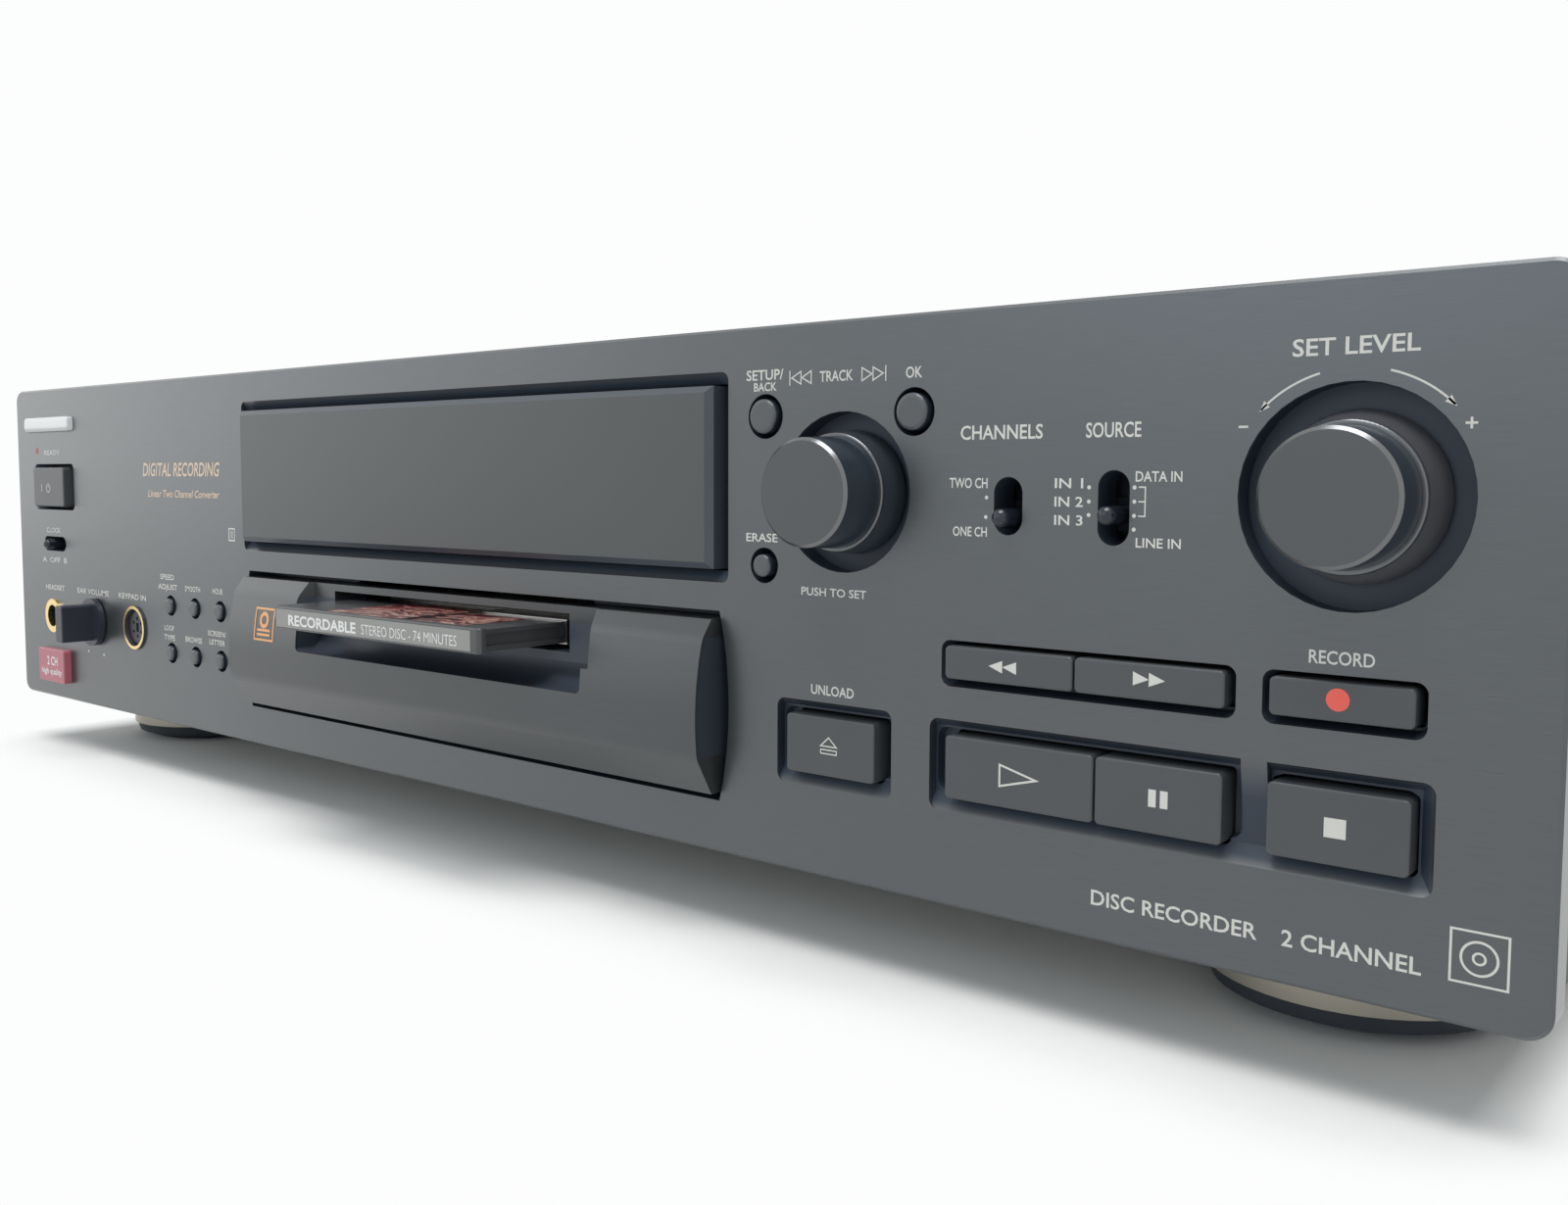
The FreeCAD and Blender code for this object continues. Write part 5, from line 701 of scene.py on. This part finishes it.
key_face = box_on_panel("play_button")[0][1]
ribbon("sign_play", arrow(354.4, 360.6, 20.9, 24.2), 0.32, key_face, "play_button", closed=True)
for side, x in (("a", 378.5), ("b", 380.25)):
    polygon(f"sign_pause_{side}", square(x, x + 1.15, 21.5, 24.0), key_face, "pause_button")
polygon("sign_stop", square(402.8, 405.6, 21.3, 23.9), key_face, "stop_button")
polygon("sign_record", circle(404.06, 39.37, 1.5), key_face, "record_button", red_ink)
for side, x in (("a", 375.8), ("b", 378.2)):
    polygon(f"sign_forward_{side}", arrow(x, x + 2.4, 38.5, 40.5), key_face, "forward_button")
for side, x in (("a", 352.2), ("b", 354.6)):
    polygon(f"sign_rewind_{side}", arrow(x + 2.4, x, 38.2, 40.1), key_face, "rewind_button")
ribbon("sign_eject_point", [(319.9, 22.75), (323.2, 22.75), (321.55, 24.25)], 0.22, key_face,
       "eject_button", closed=True)
ribbon("sign_eject_bar", square(319.9, 323.2, 21.5, 22.15), 0.2, key_face, "eject_button", closed=True)
power_face = box_on_panel("power_button")[0][1]
ring_x, ring_z = 25.4, 63.9
ribbon("sign_power_ring", circle(ring_x, ring_z, 1.25, 125, 415, 25), 0.3, power_face, "power_button")
ribbon("sign_power_stroke", [(ring_x, ring_z), (ring_x, 65.6)], 0.3, power_face, "power_button")
ribbon("sign_power_bar", [(20.9, 62.7), (20.9, 65.1)], 0.3, power_face, "power_button")
print("Drew the signs on the keys")

# %% [markdown]
# Around the knobs and slide switches the fascia carries small marks: skip signs beside the dial,
# two long arrows over the level knob with a minus and a plus, and a dot for each position of a
# lever. The arrows are arcs about the knob's own axis, so they come from its centre and one radius.

# %% Marks on the fascia
for side, x in (("a", 312.5), ("b", 314.7)):
    ribbon(f"skip_back_{side}", arrow(x + 2.0, x, 83.4, 85.5), 0.22, closed=True)
ribbon("skip_back_bar", [(312.1, 83.2), (312.1, 85.7)], 0.22)
for side, x in (("a", 327.2), ("b", 329.4)):
    ribbon(f"skip_on_{side}", arrow(x, x + 2.0, 83.4, 85.5), 0.22, closed=True)
ribbon("skip_on_bar", [(331.9, 83.2), (331.9, 85.7)], 0.22)

level = middle_on_panel("record_level_knob")
ARROW_RADIUS = 16.5


def round_the_knob(radius, angle):
    """A point at a radius and an angle in degrees about the level knob's axis."""
    angle = math.radians(angle)
    return level[0] + radius * math.cos(angle), level[2] + radius * math.sin(angle)


for name, start, end, turn in (("minus", 105.5, 136.5, 1), ("plus", 75.0, 43.8, -1)):
    ribbon(f"arrow_{name}", circle(level[0], level[2], ARROW_RADIUS, start, end, 24), 0.28)
    tip = round_the_knob(ARROW_RADIUS, end + turn)
    wings = [round_the_knob(ARROW_RADIUS + reach, end - turn * 4) for reach in (0.55, -0.55)]
    polygon(f"arrow_head_{name}", [tip, *wings[::-turn]], 0, "deck")
ribbon("mark_minus", [(389.7, 74.64), (391.0, 74.64)], 0.3)
ribbon("mark_plus_bar", [(417.7, 74.57), (419.1, 74.57)], 0.3)
for side, low in (("low", 73.87), ("high", 74.72)):
    ribbon(f"mark_plus_{side}", [(418.4, low), (418.4, low + 0.55)], 0.3)

DOTS = [(350.85, 64.76), (350.77, 61.79)]
DOTS += [(367.94, z) for z in (66.41, 64.37, 62.43)]
DOTS += [(374.97, z) for z in (66.45, 64.45, 62.44, 60.5)]
for number, (x, z) in enumerate(DOTS):
    polygon(f"dot_{number}", circle(x, z, 0.3, count=16), 0, "deck")
ribbon("bracket", [(375.6, 66.5), (376.6, 66.5), (376.6, 62.4), (375.6, 62.4)], 0.2)
ribbon("bracket_middle", [(375.6, 64.45), (376.5, 64.45)], 0.2)
for side, x, z in (("left", 45.0, 15.9), ("right", 54.7, 15.6)):
    polygon(f"volume_mark_{side}", circle(x, z, 0.45, count=16), 0, "deck")

# A plain disc sign in a square frame takes the last place at the right.
ribbon("frame_mark", square(418.3, 424.9, 5.7, 12.3), 0.3, closed=True)
ribbon("frame_mark_disc", circle(421.6, 9.0, 2.1), 0.32, closed=True)
ribbon("frame_mark_hub", circle(421.6, 9.0, 0.7, count=20), 0.3, closed=True)
ribbon("sensor_frame", square(126.9, 129.7, 51.2, 54.2), 0.35, closed=True)
polygon("sensor_window", square(127.4, 129.2, 51.7, 53.7), 0, "deck", ink("sensor_ink", (0.30, 0.30, 0.29)))
print("Marked", len(DOTS), "lever positions")

# %% [markdown]
# The block under the window carries a small orange plate at its left. Its front bulges, so a flat
# print would sink into it. Each point is pushed out instead to the arc that was found for the
# block's finish.

# %% Plate on the bulging block
def wrap(piece):
    """Pushes a flat print out to the block's front: the circle's centre less its half chord."""
    mesh = piece.data
    points = np.empty(len(mesh.vertices) * 3)
    mesh.vertices.foreach_get("co", points)
    points = points.reshape(-1, 3)
    heights = (points[:, 2] - panel_corner[2]) / MM
    front = bulge_center[0] - np.sqrt(bulge_radius**2 - (heights - bulge_center[1]) ** 2)
    points[:, 1] = panel_corner[1] + (front - PRINT_LIFT * 2) * MM
    mesh.vertices.foreach_set("co", points.ravel())
    mesh.update()
    return piece


def bending_square(left, right, low, high, steps=9):
    """A rectangle's outline with extra points up its sides, so that it can bend."""
    up = np.linspace(low, high, steps)
    return [(left, low)] + [(right, z) for z in up] + [(left, z) for z in up[:0:-1]]


wrap(ribbon("plate_frame", bending_square(148.7, 156.9, 28.1, 35.6), 0.5, finish=orange_ink, closed=True))
wrap(ribbon("plate_ring", circle(152.7, 32.9, 1.55), 0.95, finish=orange_ink, closed=True))
for number, low in enumerate((29.35, 30.45)):
    wrap(ribbon(f"plate_bar_{number}", [(149.8, low), (155.6, low)], 0.6, finish=orange_ink))
print("Bent the orange plate round the block")

# %% [markdown]
# At the upper left, raised bright letters would name the maker. Here a plain polished bar of the
# same size takes their place. It is a long rounded pad: its height over the plate is a function of
# the distance from its rim, which gives it a soft crown without any modifier.

# %% Bright bar
def crowned_bar(name, left, right, low, high, proud, finish, rows=17, columns=49):
    """A pad on a grid of two parameters; its height rises with the root of the distance inwards."""
    u, v = np.meshgrid(np.linspace(-1, 1, columns), np.linspace(-1, 1, rows))
    inward_x = np.clip((1 - np.abs(u)) * (right - left) / (high - low), 0, 1)
    inward_z = 1 - np.abs(v)
    rise = np.sqrt(1 - (1 - inward_x) ** 4) * np.sqrt(1 - (1 - inward_z) ** 4)
    pull = np.sqrt(1 - 0.35 * (1 - inward_x) ** 3)
    x = (left + right) / 2 + u * (right - left) / 2
    z = (low + high) / 2 + v * pull * (high - low) / 2
    points = panel_corner + np.stack([x, 0.05 - proud * rise, z], -1).reshape(-1, 3) * MM
    index = np.arange(rows * columns).reshape(rows, columns)
    quads = np.stack([index[:-1, :-1], index[:-1, 1:], index[1:, 1:], index[1:, :-1]], -1)
    return new_piece(name, points, quads.reshape(-1, 4).tolist(), "deck", finish)


crowned_bar("bright_bar", 7.4, 39.0, 80.6, 85.4, 1.3, metal("bright_metal", (0.52, 0.53, 0.54), 0.3))
print("Set the bright bar")

# %% [markdown]
# The red badge at the lower left is a plate with two short lines of print. They are generic words
# of the right weight, as on the fascia.

# %% Badge print
badge_face = box_on_panel("badge")[0][1]
words("badge_upper", "2 CH", (21.6, 28.6), (10.2, 12.9), bright_ink, badge_face, weight=0.02)
words("badge_lower", "high quality", (17.6, 31.4), (7.4, 9.3), bright_ink, badge_face, weight=0.015)
print("Printed the badge")

# %% [markdown]
# The cartridge wears two labels: a picture on top and a strip on its spine. The picture is painted
# with noise in warm colours. Noise that is stretched one way and bent by a slower noise looks like
# flowing brush strokes. The shell's top has a sunk track for the shutter, so the picture is cut in
# two there, and its right part lies on the track's floor.

# %% Cartridge labels
SHELL_TOP, TRACK_FLOOR = 5.0, 4.65
shell_low, shell_high = box_on_panel("cartridge_shell")
picture = Finish("picture_print", coat_weight=0.4)
x, y, z = picture.axes()
bend = picture.noise(14, detail=2.0)
flow = picture.add("ShaderNodeCombineXYZ", values=(x * 0.035 + bend * 2.2, y * 0.16 + bend * 3.0))
strokes = picture.add("ShaderNodeTexNoise", values={"Vector": flow, "Scale": 3.2, "Detail": 5.0})
FLAMES = [(0.36, (0.015, 0.010, 0.016)), (0.46, (0.12, 0.020, 0.030)), (0.53, (0.42, 0.10, 0.08)),
          (0.57, (0.80, 0.62, 0.46)), (0.62, (0.42, 0.16, 0.17)), (0.72, (0.04, 0.012, 0.022))]
warm = picture.add("ShaderNodeValToRGB", {"stops": FLAMES}, (strokes,))
picture.set(base_color=warm, roughness=0.3 + 0.1 * (picture.noise(0.6) - 0.5))


def sheet_on_top(name, ends, front, back, height, finish):
    """A label on the shell's top, in mm from the shell's front lower left corner."""
    corners = [(ends[0], front), (ends[1], front), (ends[1], back), (ends[0], back)]
    points = [on_panel(*(shell_low + (a, b, height))) for a, b in corners]
    return new_piece(name, points, [(0, 1, 2, 3)], "cartridge", finish)


sheet_on_top("picture_left", (19.7, 44.9), 0.7, 52.0, SHELL_TOP + PRINT_LIFT, picture)
sheet_on_top("picture_right", (45.0, 62.7), 2.0, 21.8, TRACK_FLOOR + PRINT_LIFT, picture)

spine_y = shell_low[1]
spine_left, spine_foot = shell_low[0], shell_low[2]
polygon("spine_label", square(spine_left + 1.2, spine_left + 69.5, spine_foot + 0.45, spine_foot + 4.45),
        spine_y, "cartridge", ink("spine_paper", (0.26, 0.26, 0.245), 0.4))
words("spine_bold", "RECORDABLE", (186.4, 212.0), (35.2, 37.5), bright_ink,
      spine_y - PRINT_LIFT, "cartridge", 0.03)
words("spine_light", "STEREO DISC - 74 MINUTES", (214.0, 245.6), (35.2, 37.4), bright_ink,
      spine_y - PRINT_LIFT, "cartridge", -0.004)
print("Labelled the cartridge, which is", np.round(shell_high - shell_low, 1), "mm")

# %% [markdown]
# On the rear, white and red rings tell left from right, and plain words say what goes where. None
# of this shows from the front, but the deck is looked at from all sides.

# %% Rear details
rear_y = box_on_panel("rear_panel")[1][1]
RINGS = {"white": ink("ring_white", (0.72, 0.71, 0.68)), "red": ink("ring_red", (0.55, 0.03, 0.025)),
         "orange": ink("ring_orange", (0.75, 0.30, 0.03))}


RING_INNER, RING_OUTER = 6.3, 7.4


def rear_ring(name, middle, finish, count=40):
    """A flat ring facing backwards: two circles joined by quads."""
    rings = [circle(*middle, radius, count=count) for radius in (RING_OUTER, RING_INNER)]
    points = [on_panel(x, rear_y + 0.05, z) for ring in rings for x, z in ring]
    faces = [(i, (i + 1) % count, (i + 1) % count + count, i + count) for i in range(count)]
    return new_piece(name, points, faces, "deck", finish)


for number, middle in enumerate(LINE_JACKS):
    side = "red" if number % 2 else "white"
    rear_ring(f"jack_ring_{number}", middle, RINGS[side])
rear_ring("coax_ring", COAX_JACK, RINGS["orange"])
words("rear_in", "LINE IN", (60.0, 70.0), (53.0, 55.0), y=rear_y, rear=True)
words("rear_out", "LINE OUT", (77.0, 89.0), (53.0, 55.0), y=rear_y, rear=True)
words("rear_left", "L", (73.4, 74.6), (43.0, 45.0), y=rear_y, rear=True)
words("rear_right", "R", (73.3, 74.7), (25.0, 27.0), y=rear_y, rear=True)
words("rear_optical", "OPTICAL IN 1, 2  AND OUT", (140.0, 190.0), (35.5, 37.5), y=rear_y, rear=True)
words("rear_coaxial", "COAX", (200.0, 210.0), (35.5, 37.5), y=rear_y, rear=True)
words("rear_mains", "AC IN", (370.0, 380.0), (40.0, 42.2), y=rear_y, rear=True)
print("Marked the rear")

# %% [markdown]
# A bare disc doesn't read as a screw. Each head gets the cross of its recess, painted black as the
# shade in it: twelve corners in the plane of the head, laid out along the two directions that lie in it.

# %% Screw recesses
ARM, HALF_BAR = 1.9, 0.42
CROSS = [(-ARM, -HALF_BAR), (-HALF_BAR, -HALF_BAR), (-HALF_BAR, -ARM), (HALF_BAR, -ARM),
         (HALF_BAR, -HALF_BAR), (ARM, -HALF_BAR), (ARM, HALF_BAR), (HALF_BAR, HALF_BAR),
         (HALF_BAR, ARM), (-HALF_BAR, ARM), (-HALF_BAR, HALF_BAR), (-ARM, HALF_BAR)]
# Painted shade: the screws' recesses are flat black crosses.
painted_recess_shade = ink("painted_recess_shade", (0.02, 0.02, 0.022), 0.6)


def screw_cross(name, middle, across, up):
    """A flat black cross about a place in mm, painted as the shade in a recess, along two directions with
    lengths of one.
    """
    corners = [np.array(middle) + a * np.array(across) + b * np.array(up) for a, b in CROSS]
    return new_piece(name, [on_panel(*corner) for corner in corners], [range(len(CROSS))], "deck",
                     painted_recess_shade)


# Places of the screws: x and z on the rear, y and z on both sides.
screws_low, screws_high = box_on_panel("case_screws")
REAR_SCREWS = [(34.4, 7.4), (266.6, 7.4), (395.6, 7.4)]
SIDE_SCREWS = [(66.75, 13.2), (226.95, 13.2)]
for number, (x, z) in enumerate(REAR_SCREWS):
    screw_cross(f"cross_rear_{number}", (x, screws_high[1] + PRINT_LIFT, z), (-1, 0, 0), (0, 0, 1))
for number, (y, z) in enumerate(SIDE_SCREWS):
    screw_cross(f"cross_left_{number}", (screws_low[0] - PRINT_LIFT, y, z), (0, -1, 0), (0, 0, 1))
    screw_cross(f"cross_right_{number}", (screws_high[0] + PRINT_LIFT, y, z), (0, 1, 0), (0, 0, 1))
print("Cut the crosses of", len(REAR_SCREWS) + 2 * len(SIDE_SCREWS), "screws")

# %% [markdown]
# A product photograph on white needs a floor that is white to the camera and still keeps the soft
# shadow under the deck. Near the deck the floor is pale paper that takes light and shadow as it
# comes. Further off it turns, over a few centimetres, into plain white light for the eye and for
# reflections, so it meets the white backdrop without a horizon; under the deck's two ends that white
# reaches in and paints light over the shadow. Light Path tells those rays from the ones that only
# carry light about.

# %% Floor and backdrop
WHITE = (0.975, 0.985, 0.98)
SKY_COLOR, SKY_STRENGTH = (0.93, 0.96, 1.0), 0.52
REACH = 3.0


def seen_rays(finish):
    """1 for rays from the camera, a mirror or glass, and 0 for rays that only carry light."""
    rays = finish.add("ShaderNodeLightPath").socket.node
    camera_ray, glossy, glass = [Wire(finish, rays.outputs[name])
                                 for name in ("Is Camera Ray", "Is Glossy Ray", "Is Transmission Ray")]
    return camera_ray.math("MAXIMUM", glossy).math("MAXIMUM", glass)


# The paper fades between these distances from the deck, in mm. At the deck's two ends the
# distance is counted from a little way under it, so there the white is painted light over the
# deck's shadow.
FADE_FROM, FADE_TO = 9, 27
GLOW_UNDER_ENDS = 20


def past_ends(place, length, under):
    """How far a place lies past either end of a length, counted from a little way inside it."""
    return ((place - length / 2).math("ABSOLUTE") - length / 2 + under).math("MAXIMUM", 0.0)


floor_finish = Finish("floor_paper", roughness=0.9)
x, y, z = floor_finish.axes()
beyond_x = past_ends(x, panel_size[0], GLOW_UNDER_ENDS)
beyond_y = past_ends(y, box_on_panel("rear_panel")[1][1], 0)
away = floor_finish.ease(distance(beyond_x, beyond_y), FADE_FROM, FADE_TO)
paper = floor_finish.noise(3, detail=2.0)
floor_finish.set(base_color=floor_finish.blend(paper, (0.92, 0.92, 0.90), (0.94, 0.94, 0.92)))
floor_finish.glow(away * seen_rays(floor_finish), WHITE)

floor_mesh = bpy.data.meshes.new("floor")
floor_mesh.from_pydata([(-REACH, -REACH, 0), (REACH, -REACH, 0), (REACH, REACH, 0), (-REACH, REACH, 0)],
                       [], [(0, 1, 2, 3)])
floor = bpy.data.objects.new("floor", floor_mesh)
bpy.context.scene.collection.objects.link(floor)
floor_mesh.materials.append(floor_finish.material)


class Sky(Finish):
    """The world's nodes, wired in the same way as a finish."""

    def __init__(self, name):
        self.material = bpy.data.worlds.new(name)
        self.material.use_nodes = True
        self.tree = self.material.node_tree
        self.tree.nodes.clear()
        self.output = self.tree.nodes.new("ShaderNodeOutputWorld")


sky = Sky("world")
plain = sky.add("ShaderNodeBackground", values=((*SKY_COLOR, 1.0), SKY_STRENGTH))
seen = sky.add("ShaderNodeBackground", values=((*WHITE, 1.0), 1.0))
sky.feed(sky.output.inputs[0], sky.add("ShaderNodeMixShader", values=(seen_rays(sky), plain, seen)))
bpy.context.scene.world = sky.material
print("The floor is", REACH * 2, "m wide")

# %% [markdown]
# Soft light needs large lamps. The main one hangs over the deck and a little in front of it: it
# whitens the floor, keeps the shadow under the deck and puts a bright crescent on the upper right
# of each knob. A second one stands far to the left, where the fascia mirrors it at its pale end. A
# third, weak and bluish, stands in front and gives the dark faces their cool sheen.

# %% Lamps
def area_lamp(name, place, target, size, power, color=(1, 1, 1)):
    """A square lamp that looks from its place at a target, both in metres."""
    data = bpy.data.lights.new(name, "AREA")
    data.size = size
    data.energy = power
    data.color = color
    lamp = bpy.data.objects.new(name, data)
    bpy.context.scene.collection.objects.link(lamp)
    lamp.location = place
    toward = np.array(target, float) - np.array(place, float)
    level = math.hypot(toward[0], toward[1])
    lamp.rotation_euler = (math.atan2(level, -toward[2]), 0, math.atan2(-toward[0], toward[1]))
    return lamp


area_lamp("top_lamp", (0.15, -0.35, 1.2), (0, -0.05, 0), 0.7, 10.2)
area_lamp("left_lamp", (-1.7, -0.85, 0.35), (-0.1, -0.13, 0.05), 1.7, 6.0)
area_lamp("front_lamp", (-0.34, -1.73, 0.75), (0.15, -0.13, 0.05), 1.0, 3.4, (0.72, 0.86, 1.0))
bpy.context.scene.view_settings.view_transform = "Standard"
print("Lit the deck with three lamps and the sky")
